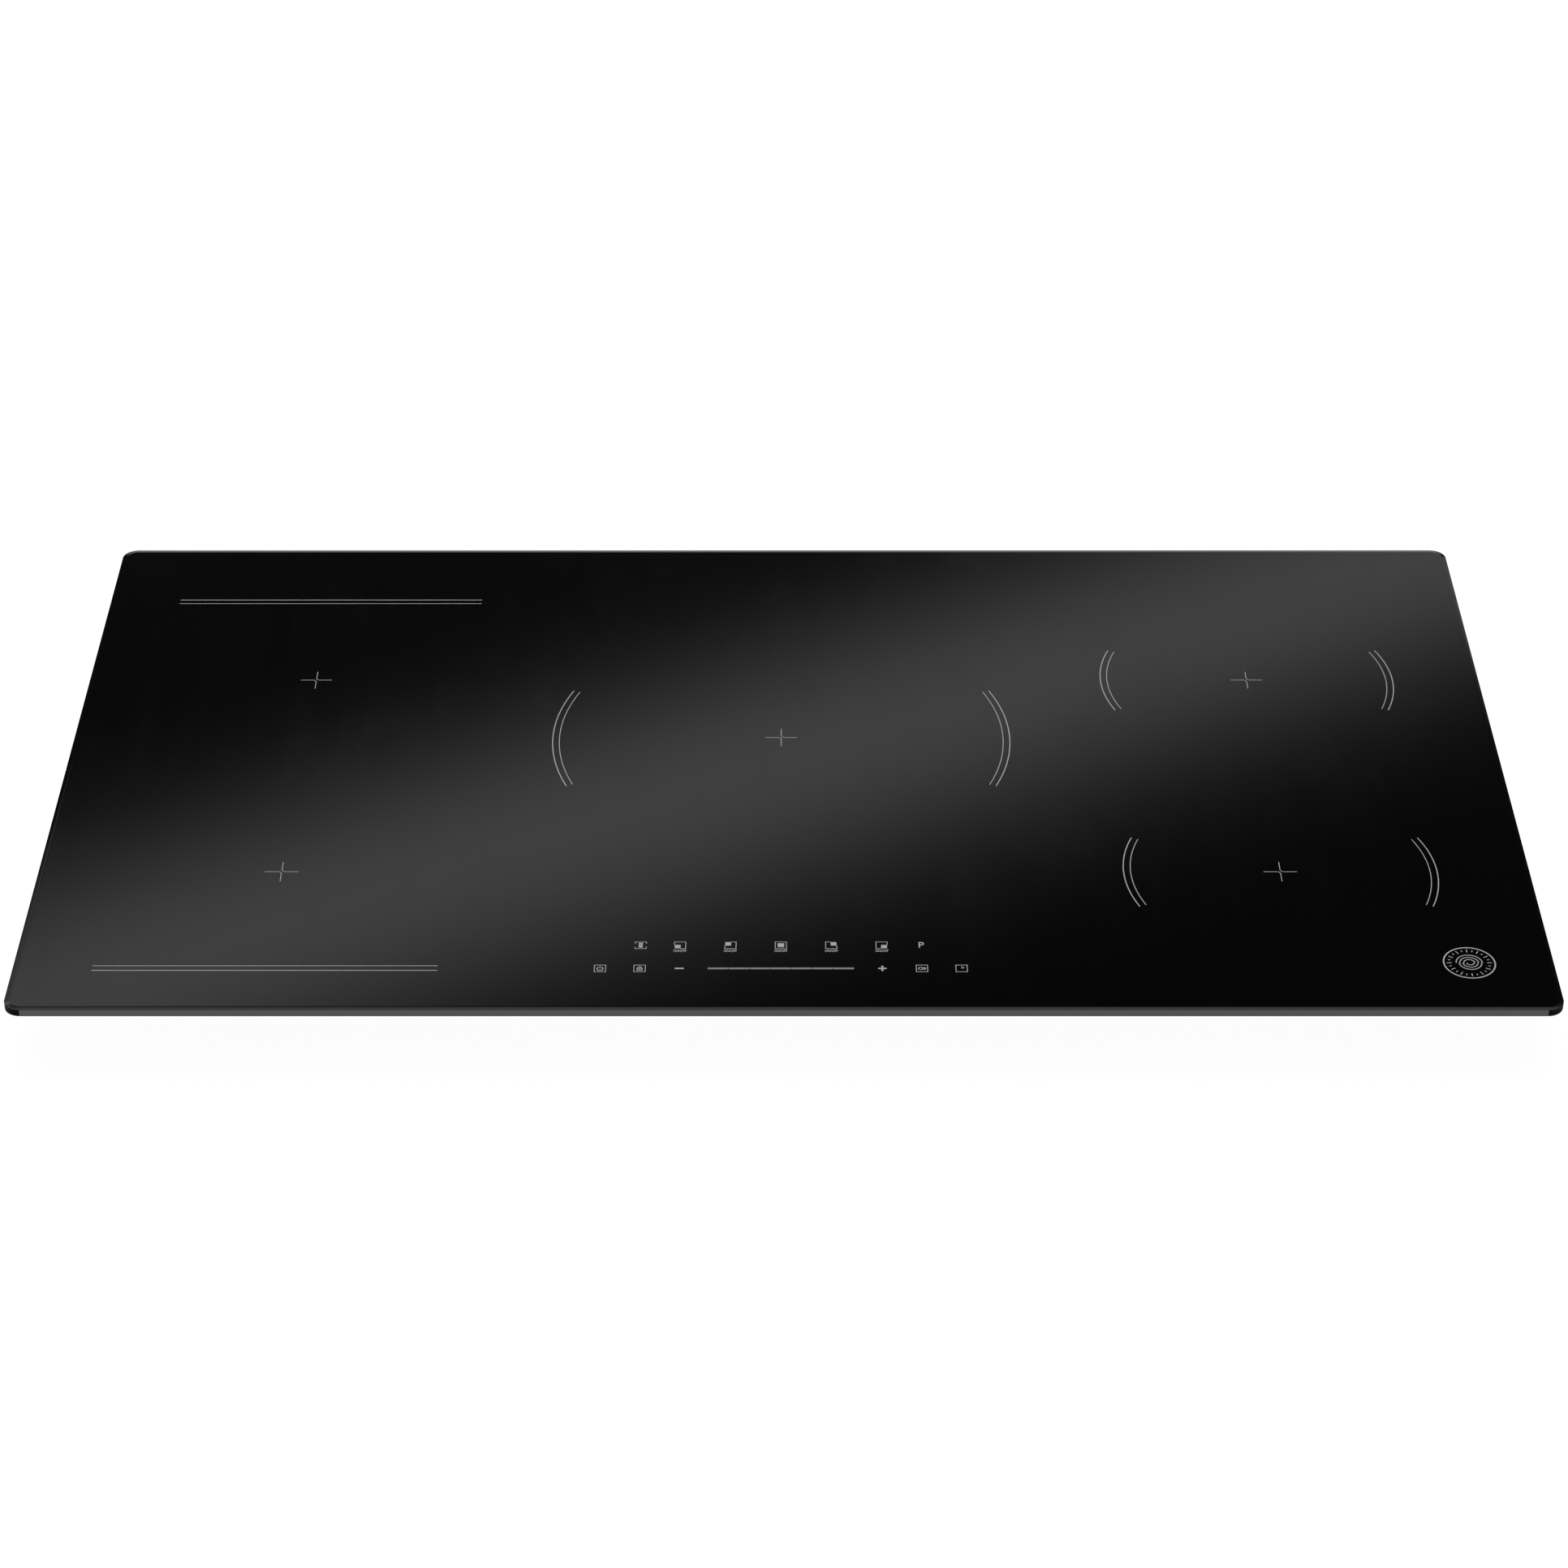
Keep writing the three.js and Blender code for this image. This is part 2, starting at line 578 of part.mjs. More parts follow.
// Ring core with its winding, lying flat on the filter board.
function filterChoke() {
  const { x, y, inner, outer, height, chamfer } = CHOKE;
  const bottom = BOARD_TOP + GAP;
  const top = bottom + height;
  const outline = [
    [inner, bottom + chamfer],
    [inner + chamfer, bottom],
    [outer - chamfer, bottom],
    [outer, bottom + chamfer],
    [outer, top - chamfer],
    [outer - chamfer, top],
    [inner + chamfer, top],
    [inner, top - chamfer],
  ];
  return turned(outline, x, y, 20);
}

// One of the two ears that hold the hinge pin of the terminal box's door.
function hingeEar(x0, bore) {
  const { rearY, bottom } = TERMINAL;
  const x1 = x0 + LID.lug;
  const barrel = alongX(circle(LID.barrel, rearY + GAP + LID.barrel, LID.hingeZ), x0, x1);
  const bridge = block(x0, rearY - 1, bottom, x1, rearY + 2, LID.hingeZ + LID.barrel - 0.5);
  return toSolid(carve([barrel, bridge], [bore]));
}

// Plastic box behind the deep part of the pan, open to the rear, with a cable entry on its right.
function terminalBox() {
  const { x, width, wall, bottom, rearY, entryRadius, entryZ } = TERMINAL;
  const frontY = BOX.depth / 2 + GAP;
  const top = TERMINAL_TOP;
  const left = x - width / 2;
  const right = x + width / 2;
  const shell = block(left, frontY, bottom, right, rearY, top);
  const room = block(left + wall, frontY + wall, bottom + wall, right - wall, rearY + OVERCUT, top - wall);
  const wireHole = alongY(circle(HARNESS.hole, x, HARNESS.z), frontY - OVERCUT, frontY + OVERCUT);
  const entryOutline = circle(entryRadius, (frontY + rearY) / 2, entryZ);
  const entry = alongX(entryOutline, right - OVERCUT, right + OVERCUT);
  const axisY = rearY + GAP + LID.barrel;
  const bore = alongX(circle(LID.bore, axisY, LID.hingeZ), left - OVERCUT, right + OVERCUT);
  const body = toSolid(carve([shell], [room, wireHole, entry]));
  return toGeometry(body.add(hingeEar(left, bore)).add(hingeEar(right - LID.lug, bore)));
}

// Row of screw terminals, with a raised wall between neighbours.
function terminalBlock() {
  const { ways, pitch, setback, depth, bottom, top, wall, wallTop } = BLOCK;
  const frontY = BOX.depth / 2 + setback;
  const left = TERMINAL.x - (ways * pitch) / 2;
  const right = left + ways * pitch;
  const parts = [block(left, frontY, bottom, right, frontY + depth, top)];
  for (let index = 0; index <= ways; index += 1) {
    const wallX = Math.min(left + index * pitch, right - wall);
    parts.push(block(wallX, frontY, bottom, wallX + wall, frontY + depth, wallTop));
  }
  return carve(parts);
}

// Door of the terminal box. It hangs on the pin along its lower edge and folds down to the rear.
function terminalLid() {
  const { x, width, rearY } = TERMINAL;
  const left = x - width / 2 + LID.lug + GAP;
  const right = x + width / 2 - LID.lug - GAP;
  const axisY = rearY + GAP + LID.barrel;
  const panelY = rearY + GAP;
  const top = TERMINAL_TOP - 0.5;
  const barrelOutline = circle(LID.barrel, axisY, LID.hingeZ);
  const barrel = alongX(barrelOutline, left, right);
  const panel = block(left, panelY, LID.hingeZ, right, panelY + LID.thickness, top);
  const half = LID.pull / 2;
  const pullTop = top - LID.pullHeight;
  const pullBottom = pullTop - LID.pullHeight;
  const pull = block(x - half, panelY + 1, pullBottom, x + half, panelY + 2 * LID.thickness, pullTop);
  const bore = alongX(circle(LID.bore, axisY, LID.hingeZ), left - OVERCUT, right + OVERCUT);
  return carve([barrel, panel, pull], [bore]);
}

function lidPin() {
  const { x, width, rearY } = TERMINAL;
  const axisY = rearY + GAP + LID.barrel;
  return alongX(circle(LID.pin, axisY, LID.hingeZ), x - width / 2, x + width / 2, 6);
}

// Sheathed wires from the terminal block, through the wall of the pan, to the filter board.
function mainsHarness() {
  const startY = BOX.depth / 2 + 11.5;
  const { x } = TERMINAL;
  const route = new THREE.CatmullRomCurve3([
    new THREE.Vector3(x, startY, HARNESS.z),
    new THREE.Vector3(x, BOX.depth / 2 - 12, HARNESS.z),
    new THREE.Vector3(x - 4, BOX.depth / 2 - 30, HARNESS.endZ + 1),
    new THREE.Vector3(x - 6, HARNESS.endY, HARNESS.endZ + 0.2),
  ]);
  return new THREE.ExtrudeGeometry(circle(HARNESS.radius), {
    steps: 12,
    extrudePath: route,
    bevelEnabled: false,
    curveSegments: 5,
  });
}

// ---------------------------------------------------------------- touch control

function controlTray() {
  const { width, frontY, rearY, bottom, wall } = CONTROL;
  const x = ZONES.shiftX;
  const middleY = (frontY + rearY) / 2;
  const outer = roundedRectangle(width, rearY - frontY, 3, x, middleY);
  const inner = roundedRectangle(width - 2 * wall, rearY - frontY - 2 * wall, 1.5, x, middleY);
  return carve([slab(outer, bottom, PAN_TOP - 0.4, 3)], [slab(inner, bottom + wall, HEIGHT, 3)]);
}

function controlBoard() {
  const { width, frontY, rearY, wall } = CONTROL;
  const margin = 2 * (wall + GAP);
  const middleY = (frontY + rearY) / 2;
  const outline = roundedRectangle(width - margin, rearY - frontY - margin, 1.5, ZONES.shiftX, middleY);
  return slab(outline, CONTROL.boardTop - BOARD, CONTROL.boardTop, 3);
}

function lightGuide() {
  const { width, depth, y } = GUIDE;
  const outline = roundedRectangle(width, depth, 1, ZONES.shiftX, y);
  return slab(outline, CONTROL.boardTop + GAP, PAN_TOP, 3);
}

// ---------------------------------------------------------------- worktop clamps

// Z-shaped strip that swings on its screw. The arm points along Y when it is folded in.
function clamp(x, y) {
  const inward = -Math.sign(y);
  const { reach, width, thickness, bottom, padRise, padLength } = CLAMP;
  const strip = new THREE.Shape();
  strip.absarc(0, 0, width / 2, Math.PI, 2 * Math.PI, false);
  strip.lineTo(width / 2, reach - padLength);
  strip.lineTo(-width / 2, reach - padLength);
  strip.closePath();
  strip.holes.push(circle(SCREW.hole));
  const half = width / 2;
  const top = bottom + padRise;
  const parts = [
    slab(strip, bottom, bottom + thickness, 6),
    block(-half, reach - padLength - thickness, bottom, half, reach - padLength, top),
    block(-half, reach - padLength - thickness, top - thickness, half, reach, top),
  ];
  const geometry = carve(parts);
  if (inward < 0) {
    geometry.rotateZ(Math.PI);
  }
  return geometry.translate(x, y, 0);
}

// Screw with a round head below the clamp. Its tip ends above the step of the pan.
function clampScrew(x, y) {
  const headTop = CLAMP.bottom - GAP;
  const outline = [
    [0, headTop - SCREW.headHeight],
    [SCREW.headRadius - 1, headTop - SCREW.headHeight],
    [SCREW.headRadius, headTop - SCREW.headHeight + 1],
    [SCREW.headRadius, headTop],
    [SCREW.radius, headTop],
    [SCREW.radius, SCREW.tip - 1],
    [SCREW.radius - 1, SCREW.tip],
    [0, SCREW.tip],
  ];
  const points = outline.map(([r, z]) => new THREE.Vector2(r, z));
  const geometry = new THREE.LatheGeometry(points, 12);
  geometry.rotateX(Math.PI / 2);
  return geometry.translate(x, y, 0);
}

// ---------------------------------------------------------------- assembly

piece('glass_top', glassTop(), FINISH.blackGlass);
piece('worktop_seal', worktopSeal(), FINISH.foam);
piece('glass_frame', glassFrame(), FINISH.galvanised);
piece('base_tray', baseTray(), FINISH.galvanised);
piece('base_box', baseBox(), FINISH.galvanised);

piece('coil_carrier_left', coilCarrier(LEFT_X, CARRIER.outerWidth, [FRONT_Y, REAR_Y]), FINISH.aluminium);
piece(
  'coil_carrier_centre',
  coilCarrier(ZONES.shiftX, CARRIER.centreWidth, [ZONES.centreY]),
  FINISH.aluminium,
);
piece('coil_carrier_right', coilCarrier(RIGHT_X, CARRIER.outerWidth, [FRONT_Y, REAR_Y]), FINISH.aluminium);

for (const [place, y] of [['rear', REAR_Y], ['front', FRONT_Y]]) {
  piece(`coil_former_left_${place}`, squareFormer(LEFT_X, y), FINISH.blackPlastic);
  piece(`winding_left_${place}`, squareWinding(LEFT_X, y), FINISH.copper);
  piece(`insulation_left_${place}`, squarePad(LEFT_X, y), FINISH.fibre);
  piece(`sensor_left_${place}`, sensor(LEFT_X, y), FINISH.whitePlastic);

  const outer = ROUND_COIL.small;
  piece(`coil_former_right_${place}`, roundFormer(RIGHT_X, y, outer), FINISH.blackPlastic);
  piece(`winding_right_${place}`, roundWinding(RIGHT_X, y, COIL.hubOuter + GAP, outer), FINISH.copper);
  piece(`insulation_right_${place}`, roundPad(RIGHT_X, y, outer), FINISH.fibre);
  piece(`sensor_right_${place}`, sensor(RIGHT_X, y), FINISH.whitePlastic);
}

const { large, split } = ROUND_COIL;
const centreX = ZONES.shiftX;
const centreY = ZONES.centreY;
piece('coil_former_centre', roundFormer(centreX, centreY, large, split), FINISH.blackPlastic);
piece(
  'winding_centre_inner',
  roundWinding(centreX, centreY, COIL.hubOuter + GAP, split - GAP),
  FINISH.copper,
);
piece(
  'winding_centre_outer',
  roundWinding(centreX, centreY, split + COIL.rim + GAP, large),
  FINISH.copper,
);
piece('insulation_centre', roundPad(centreX, centreY, large), FINISH.fibre);
piece('sensor_centre', sensor(centreX, centreY), FINISH.whitePlastic);

for (const [side, x] of [['left', MODULE.leftX], ['right', MODULE.rightX]]) {
  piece(`fan_grille_${side}`, fanGrille(x), FINISH.blackPlastic);
  piece(`module_tray_${side}`, moduleTray(x), FINISH.greyPlastic);
  piece(`power_board_${side}`, powerBoard(x), FINISH.board);
  piece(`heat_sink_${side}`, heatSink(x + HEAT_SINK.shiftX), FINISH.aluminium);
  piece(`fan_housing_${side}`, blowerHousing(x), FINISH.blackPlastic);
  piece(`fan_rotor_${side}`, blowerRotor(x), FINISH.blackPlastic);
}

piece('filter_tray', filterTray(), FINISH.greyPlastic);
piece('filter_board', filterBoard(), FINISH.board);
piece('filter_choke', filterChoke(), FINISH.ferrite);
piece('mains_harness', mainsHarness(), FINISH.cable);
piece('terminal_box', terminalBox(), FINISH.blackPlastic);
piece('terminal_block', terminalBlock(), FINISH.whitePlastic);
piece('terminal_lid', terminalLid(), FINISH.blackPlastic);
piece('terminal_lid_pin', lidPin(), FINISH.zincSteel);

piece('control_tray', controlTray(), FINISH.blackPlastic);
piece('control_board', controlBoard(), FINISH.board);
piece('light_guide', lightGuide(), FINISH.whitePlastic);

for (const [side, x] of [['left', -CLAMP.x], ['right', CLAMP.x]]) {
  for (const [place, y] of [['front', -CLAMP.y], ['rear', CLAMP.y]]) {
    piece(`clamp_${place}_${side}`, clamp(x, y), FINISH.zincSteel);
    piece(`clamp_screw_${place}_${side}`, clampScrew(x, y), FINISH.zincSteel);
  }
}

export default cooktop;
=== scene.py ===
"""Visual model of a built-in induction cooktop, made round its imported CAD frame."""

from __future__ import annotations

import logging
import math
from collections.abc import Callable, Iterable, Sequence
from dataclasses import dataclass, field
from enum import Enum

import bpy
from mathutils import Matrix, Vector


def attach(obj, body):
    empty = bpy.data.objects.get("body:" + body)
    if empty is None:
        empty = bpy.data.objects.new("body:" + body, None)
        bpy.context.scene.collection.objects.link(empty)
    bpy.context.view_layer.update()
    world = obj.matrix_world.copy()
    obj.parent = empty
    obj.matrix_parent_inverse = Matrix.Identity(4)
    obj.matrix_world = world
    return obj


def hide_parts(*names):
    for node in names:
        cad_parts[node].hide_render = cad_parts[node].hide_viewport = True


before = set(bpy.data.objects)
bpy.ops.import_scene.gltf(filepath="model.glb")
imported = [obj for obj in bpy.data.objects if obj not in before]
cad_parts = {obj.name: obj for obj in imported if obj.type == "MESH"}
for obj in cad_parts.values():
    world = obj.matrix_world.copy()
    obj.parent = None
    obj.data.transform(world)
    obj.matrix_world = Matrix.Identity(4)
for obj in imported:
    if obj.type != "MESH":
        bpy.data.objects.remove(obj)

log = logging.getLogger("cooktop")

MM = 0.001
Point = tuple[float, float, float]
Flat = tuple[float, float]
Colour = tuple[float, float, float]
Piece = bpy.types.Object
Socket = bpy.types.NodeSocket


class Axis(Enum):
    """The direction that a turned shape stands along."""

    X = (0.0, math.pi / 2, 0.0)
    Y = (math.pi / 2, 0.0, 0.0)
    Z = (0.0, 0.0, 0.0)


# ---------------------------------------------------------------- the bench


def settle_selection(piece: Piece) -> None:
    """Select one piece alone and make it the active one.

    Args:
        piece: the piece that the next operators act on.
    """
    bpy.ops.object.select_all(action="DESELECT")
    piece.select_set(True)
    bpy.context.view_layer.objects.active = piece


def placed(piece: Piece) -> Piece:
    """Move a piece's place, turn and scale into its mesh.

    Args:
        piece: a fresh piece.

    Returns:
        The same piece, with its object at the origin.
    """
    settle_selection(piece)
    bpy.ops.object.transform_apply(location=True, rotation=True, scale=True)
    return piece


def block(name: str, low: Point, high: Point) -> Piece:
    """Add a rectangular start shape.

    Args:
        name: name of the piece.
        low: lowest corner in millimetres.
        high: highest corner in millimetres.

    Returns:
        The new piece.
    """
    bpy.ops.object.select_all(action="DESELECT")
    middle = [(a + b) / 2 * MM for a, b in zip(low, high)]
    bpy.ops.mesh.primitive_cube_add(size=1, location=middle)
    piece = bpy.context.object
    piece.name = name
    piece.scale = [(b - a) * MM for a, b in zip(low, high)]
    return placed(piece)


def turned(
    name: str,
    centre: Point,
    radius: float,
    depth: float,
    axis: Axis = Axis.Z,
    sides: int = 32,
) -> Piece:
    """Add a round start shape.

    Args:
        name: name of the piece.
        centre: middle of the shape in millimetres.
        radius: outer radius in millimetres.
        depth: length along the axis in millimetres.
        axis: direction that the shape stands along.
        sides: number of flats round it.

    Returns:
        The new piece.
    """
    bpy.ops.object.select_all(action="DESELECT")
    bpy.ops.mesh.primitive_cylinder_add(
        vertices=sides,
        radius=radius * MM,
        depth=depth * MM,
        location=[c * MM for c in centre],
        rotation=axis.value,
    )
    piece = bpy.context.object
    piece.name = name
    return placed(piece)


def pick_faces(piece: Piece, test: Callable[[Vector, Vector], bool]) -> None:
    """Go into edit mode with some faces selected.

    Args:
        piece: the piece to edit.
        test: takes a face's centre in millimetres and its normal.
    """
    settle_selection(piece)
    bpy.context.tool_settings.mesh_select_mode = (False, False, True)
    for vertex in piece.data.vertices:
        vertex.select = False
    for edge in piece.data.edges:
        edge.select = False
    for face in piece.data.polygons:
        face.select = test(face.center / MM, face.normal)
    bpy.ops.object.mode_set(mode="EDIT")


def pick_edges(piece: Piece, test: Callable[[Vector, Vector], bool]) -> None:
    """Go into edit mode with some edges selected.

    Args:
        piece: the piece to edit.
        test: takes an edge's middle in millimetres and its direction.
    """
    settle_selection(piece)
    bpy.context.tool_settings.mesh_select_mode = (False, True, False)
    points = [v.co.copy() for v in piece.data.vertices]
    for vertex in piece.data.vertices:
        vertex.select = False
    for face in piece.data.polygons:
        face.select = False
    for edge in piece.data.edges:
        a, b = (points[i] for i in edge.vertices)
        edge.select = test((a + b) / 2 / MM, (b - a).normalized())
    bpy.ops.object.mode_set(mode="EDIT")


def leave_edit() -> None:
    """Go back to object mode."""
    bpy.ops.object.mode_set(mode="OBJECT")


def round_edges(
    piece: Piece,
    width: float,
    segments: int,
    test: Callable[[Vector, Vector], bool],
) -> Piece:
    """Round some edges of a piece.

    Args:
        piece: the piece to shape.
        width: how far the rounding reaches, in millimetres.
        segments: number of strips in the rounding.
        test: picks the edges by middle and direction.

    Returns:
        The same piece.
    """
    pick_edges(piece, test)
    bpy.ops.mesh.bevel(offset=width * MM, segments=segments, affect="EDGES")
    leave_edit()
    return piece


def upright(_: Vector, direction: Vector) -> bool:
    """Tell whether an edge stands upright.

    Args:
        _: the edge's middle, which doesn't matter here.
        direction: the edge's direction.

    Returns:
        True when it is upright.
    """
    return abs(direction.z) > 0.99


def joined(name: str, parts: Sequence[Piece]) -> Piece:
    """Join parts into one piece.

    Args:
        name: name of the whole.
        parts: the parts, which are used up.

    Returns:
        The joined piece.
    """
    settle_selection(parts[0])
    for part in parts:
        part.select_set(True)
    if len(parts) > 1:
        bpy.ops.object.join()
    parts[0].name = name
    return parts[0]


def copied(piece: Piece, name: str, shift: Point, turn: float = 0.0) -> Piece:
    """Copy a piece with a mesh of its own.

    Args:
        piece: the model piece.
        name: name of the copy.
        shift: how far the copy is moved, in millimetres.
        turn: turn round the upright axis through the origin, in degrees, before the move.

    Returns:
        The copy.
    """
    copy = piece.copy()
    copy.data = piece.data.copy()
    copy.name = name
    bpy.context.scene.collection.objects.link(copy)
    move = Matrix.Translation(Vector(shift) * MM)
    copy.data.transform(move @ Matrix.Rotation(math.radians(turn), 4, "Z"))
    return copy


def cut(piece: Piece, cutter: Piece) -> Piece:
    """Cut one shape out of a piece.

    Args:
        piece: the piece that stays.
        cutter: the shape that is taken away and removed.

    Returns:
        The same piece.
    """
    settle_selection(piece)
    modifier = piece.modifiers.new("cut", "BOOLEAN")
    modifier.operation = "DIFFERENCE"
    modifier.solver = "EXACT"
    modifier.object = cutter
    bpy.ops.object.modifier_apply(modifier=modifier.name)
    bpy.data.objects.remove(cutter)
    return piece


def walled(piece: Piece, thickness: float) -> Piece:
    """Give an open skin a wall that grows inwards.

    Args:
        piece: the skin.
        thickness: wall in millimetres.

    Returns:
        The same piece.
    """
    settle_selection(piece)
    modifier = piece.modifiers.new("wall", "SOLIDIFY")
    modifier.thickness = thickness * MM
    modifier.offset = -1
    bpy.ops.object.modifier_apply(modifier=modifier.name)
    return piece


def face_outwards(piece: Piece) -> Piece:
    """Merge doubled points and turn every face outwards.

    Args:
        piece: the piece to clean.

    Returns:
        The same piece.
    """
    settle_selection(piece)
    bpy.ops.object.mode_set(mode="EDIT")
    bpy.ops.mesh.select_all(action="SELECT")
    bpy.ops.mesh.remove_doubles(threshold=1e-6)
    bpy.ops.mesh.normals_make_consistent(inside=False)
    leave_edit()
    return piece


def handed_over(
    piece: Piece,
    finish: Finish,
    body: str = "housing",
    replaces: Sequence[str] = (),
    angle: float = 35.0,
    even: bool = False,
) -> Piece:
    """Dress a finished piece and let it ride on its body.

    Args:
        piece: the finished piece.
        finish: what its surface is.
        body: the body that it moves with.
        replaces: nodes of the frame that it stands for.
        angle: edges flatter than this many degrees are shaded smooth.
        even: whether large flat faces keep one even shade up to their broken edges.

    Returns:
        The same piece.
    """
    settle_selection(piece)
    bpy.ops.object.shade_smooth_by_angle(angle=math.radians(angle))
    if even:
        modifier = piece.modifiers.new("even", "WEIGHTED_NORMAL")
        modifier.keep_sharp = True
        bpy.ops.object.modifier_apply(modifier=modifier.name)
    piece.data.materials.clear()
    piece.data.materials.append(finish.material())
    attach(piece, body)
    if replaces:
        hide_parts(*replaces)
    log.info("%s: %d faces on %s", piece.name, len(piece.data.polygons), body)
    return piece


# ---------------------------------------------------------------- node helpers


class Wiring:
    """A node tree with short calls for adding and linking nodes."""

    def __init__(self, tree: bpy.types.NodeTree) -> None:
        """Start on a tree.

        Args:
            tree: the node tree to fill.
        """
        self.tree = tree

    def add(self, kind: str, inputs: dict | None = None, **settings: object) -> bpy.types.Node:
        """Add a node.

        Args:
            kind: node type without its ShaderNode prefix.
            inputs: values or sockets for its inputs, by name or index.
            settings: attributes of the node.

        Returns:
            The new node.
        """
        node = self.tree.nodes.new("ShaderNode" + kind)
        for key, value in settings.items():
            setattr(node, key, value)
        for key, value in (inputs or {}).items():
            if isinstance(value, Socket):
                self.tree.links.new(value, node.inputs[key])
            else:
                node.inputs[key].default_value = value
        return node

    def math(self, operation: str, *values: object) -> Socket:
        """Add a math node.

        Args:
            operation: name of the operation.
            values: numbers or sockets.

        Returns:
            The result's socket.
        """
        node = self.add("Math", dict(enumerate(values)), operation=operation)
        return node.outputs[0]

    def remap(self, value: Socket, low: float, high: float, to_low: float, to_high: float) -> Socket:
        """Map a value from one range to another, clamped.

        Args:
            value: the value's socket.
            low: lower end of the source range.
            high: upper end of the source range.
            to_low: what the lower end becomes.
            to_high: what the upper end becomes.

        Returns:
            The result's socket.
        """
        node = self.add("MapRange", {0: value, 1: low, 2: high, 3: to_low, 4: to_high})
        return node.outputs[0]

    def blend(self, factor: object, first: object, second: object) -> Socket:
        """Mix two colours.

        Args:
            factor: share of the second colour.
            first: colour or socket at factor 0.
            second: colour or socket at factor 1.

        Returns:
            The mixed colour's socket.
        """
        node = self.add("Mix", data_type="RGBA")
        for key, value in ((0, factor), (6, first), (7, second)):
            if isinstance(value, Socket):
                self.tree.links.new(value, node.inputs[key])
            elif key == 0:
                node.inputs[key].default_value = value
            else:
                node.inputs[key].default_value = (*value[:3], 1.0)
        return node.outputs[2]

    def noise(self, vector: Socket, scale: float, detail: float = 3.0) -> Socket:
        """Add a noise pattern.

        Args:
            vector: place that the pattern is read at.
            scale: repeats per metre.
            detail: octaves.

        Returns:
            The pattern's value socket.
        """
        node = self.add("TexNoise", {"Vector": vector, "Scale": scale, "Detail": detail})
        return node.outputs["Fac"]

    def place(self, stretch: Point = (1.0, 1.0, 1.0)) -> Socket:
        """Give object coordinates, stretched.

        Args:
            stretch: factor for each axis.

        Returns:
            The coordinates' socket.
        """
        where = self.add("TexCoord").outputs["Object"]
        return self.add("Mapping", {"Vector": where, "Scale": stretch}).outputs[0]


def node_group(name: str, inputs: dict[str, float], outputs: Iterable[str]) -> tuple:
    """Start a shared shader node group.

    Args:
        name: name of the group.
        inputs: input names with their default numbers; Vector is a place, and Normal a direction.
        outputs: output names; all are numbers.

    Returns:
        The tree, its wiring, its input node and its output node.
    """
    tree = bpy.data.node_groups.new(name, "ShaderNodeTree")
    for key, value in inputs.items():
        kind = "NodeSocketVector" if key == "Vector" else "NodeSocketFloat"
        made = tree.interface.new_socket(key, in_out="INPUT", socket_type=kind)
        if kind == "NodeSocketFloat":
            made.default_value = value
    for key in outputs:
        tree.interface.new_socket(key, in_out="OUTPUT", socket_type="NodeSocketFloat")
    wiring = Wiring(tree)
    start = tree.nodes.new("NodeGroupInput")
    end = tree.nodes.new("NodeGroupOutput")
    return tree, wiring, start, end


def edge_wear_group() -> bpy.types.NodeTree:
    """Make or find the group that finds worn edges.

    Returns:
        The group, with inputs Vector, Width and Break and the output Mask.
    """
    found = bpy.data.node_groups.get("edge_wear")
    if found:
        return found
    tree, w, start, end = node_group(
        "edge_wear", {"Vector": 0.0, "Width": 0.0006, "Break": 260.0}, ["Mask"]
    )
    soft = w.add("Bevel", {"Radius": start.outputs["Width"]}, samples=4).outputs[0]
    true = w.add("NewGeometry").outputs["Normal"]
    dot = w.add("VectorMath", {0: soft, 1: true}, operation="DOT_PRODUCT").outputs["Value"]
    edge = w.remap(dot, 0.995, 0.86, 0.0, 1.0)
    patch = w.add(
        "TexNoise", {"Vector": start.outputs["Vector"], "Scale": start.outputs["Break"], "Detail": 4.0}
    )
    share = w.remap(patch.outputs["Fac"], 0.42, 0.6, 0.25, 1.0)
    tree.links.new(w.math("MULTIPLY", edge, share), end.inputs["Mask"])
    return tree


def handling_group() -> bpy.types.NodeTree:
    """Make or find the group that gives soft smudges.

    Returns:
        The group, with the input Vector and the output Smudge.
    """
    found = bpy.data.node_groups.get("handling")
    if found:
        return found
    tree, w, start, end = node_group("handling", {"Vector": 0.0}, ["Smudge"])
    where = start.outputs["Vector"]
    broad = w.noise(where, 9.0, 4.0)
    streak = w.noise(w.add("Mapping", {"Vector": where, "Scale": (60.0, 14.0, 30.0)}).outputs[0], 1.0, 2.0)
    smudge = w.remap(w.math("MULTIPLY", broad, streak), 0.18, 0.42, 0.0, 1.0)
    tree.links.new(smudge, end.inputs["Smudge"])
    return tree


# ---------------------------------------------------------------- finishes


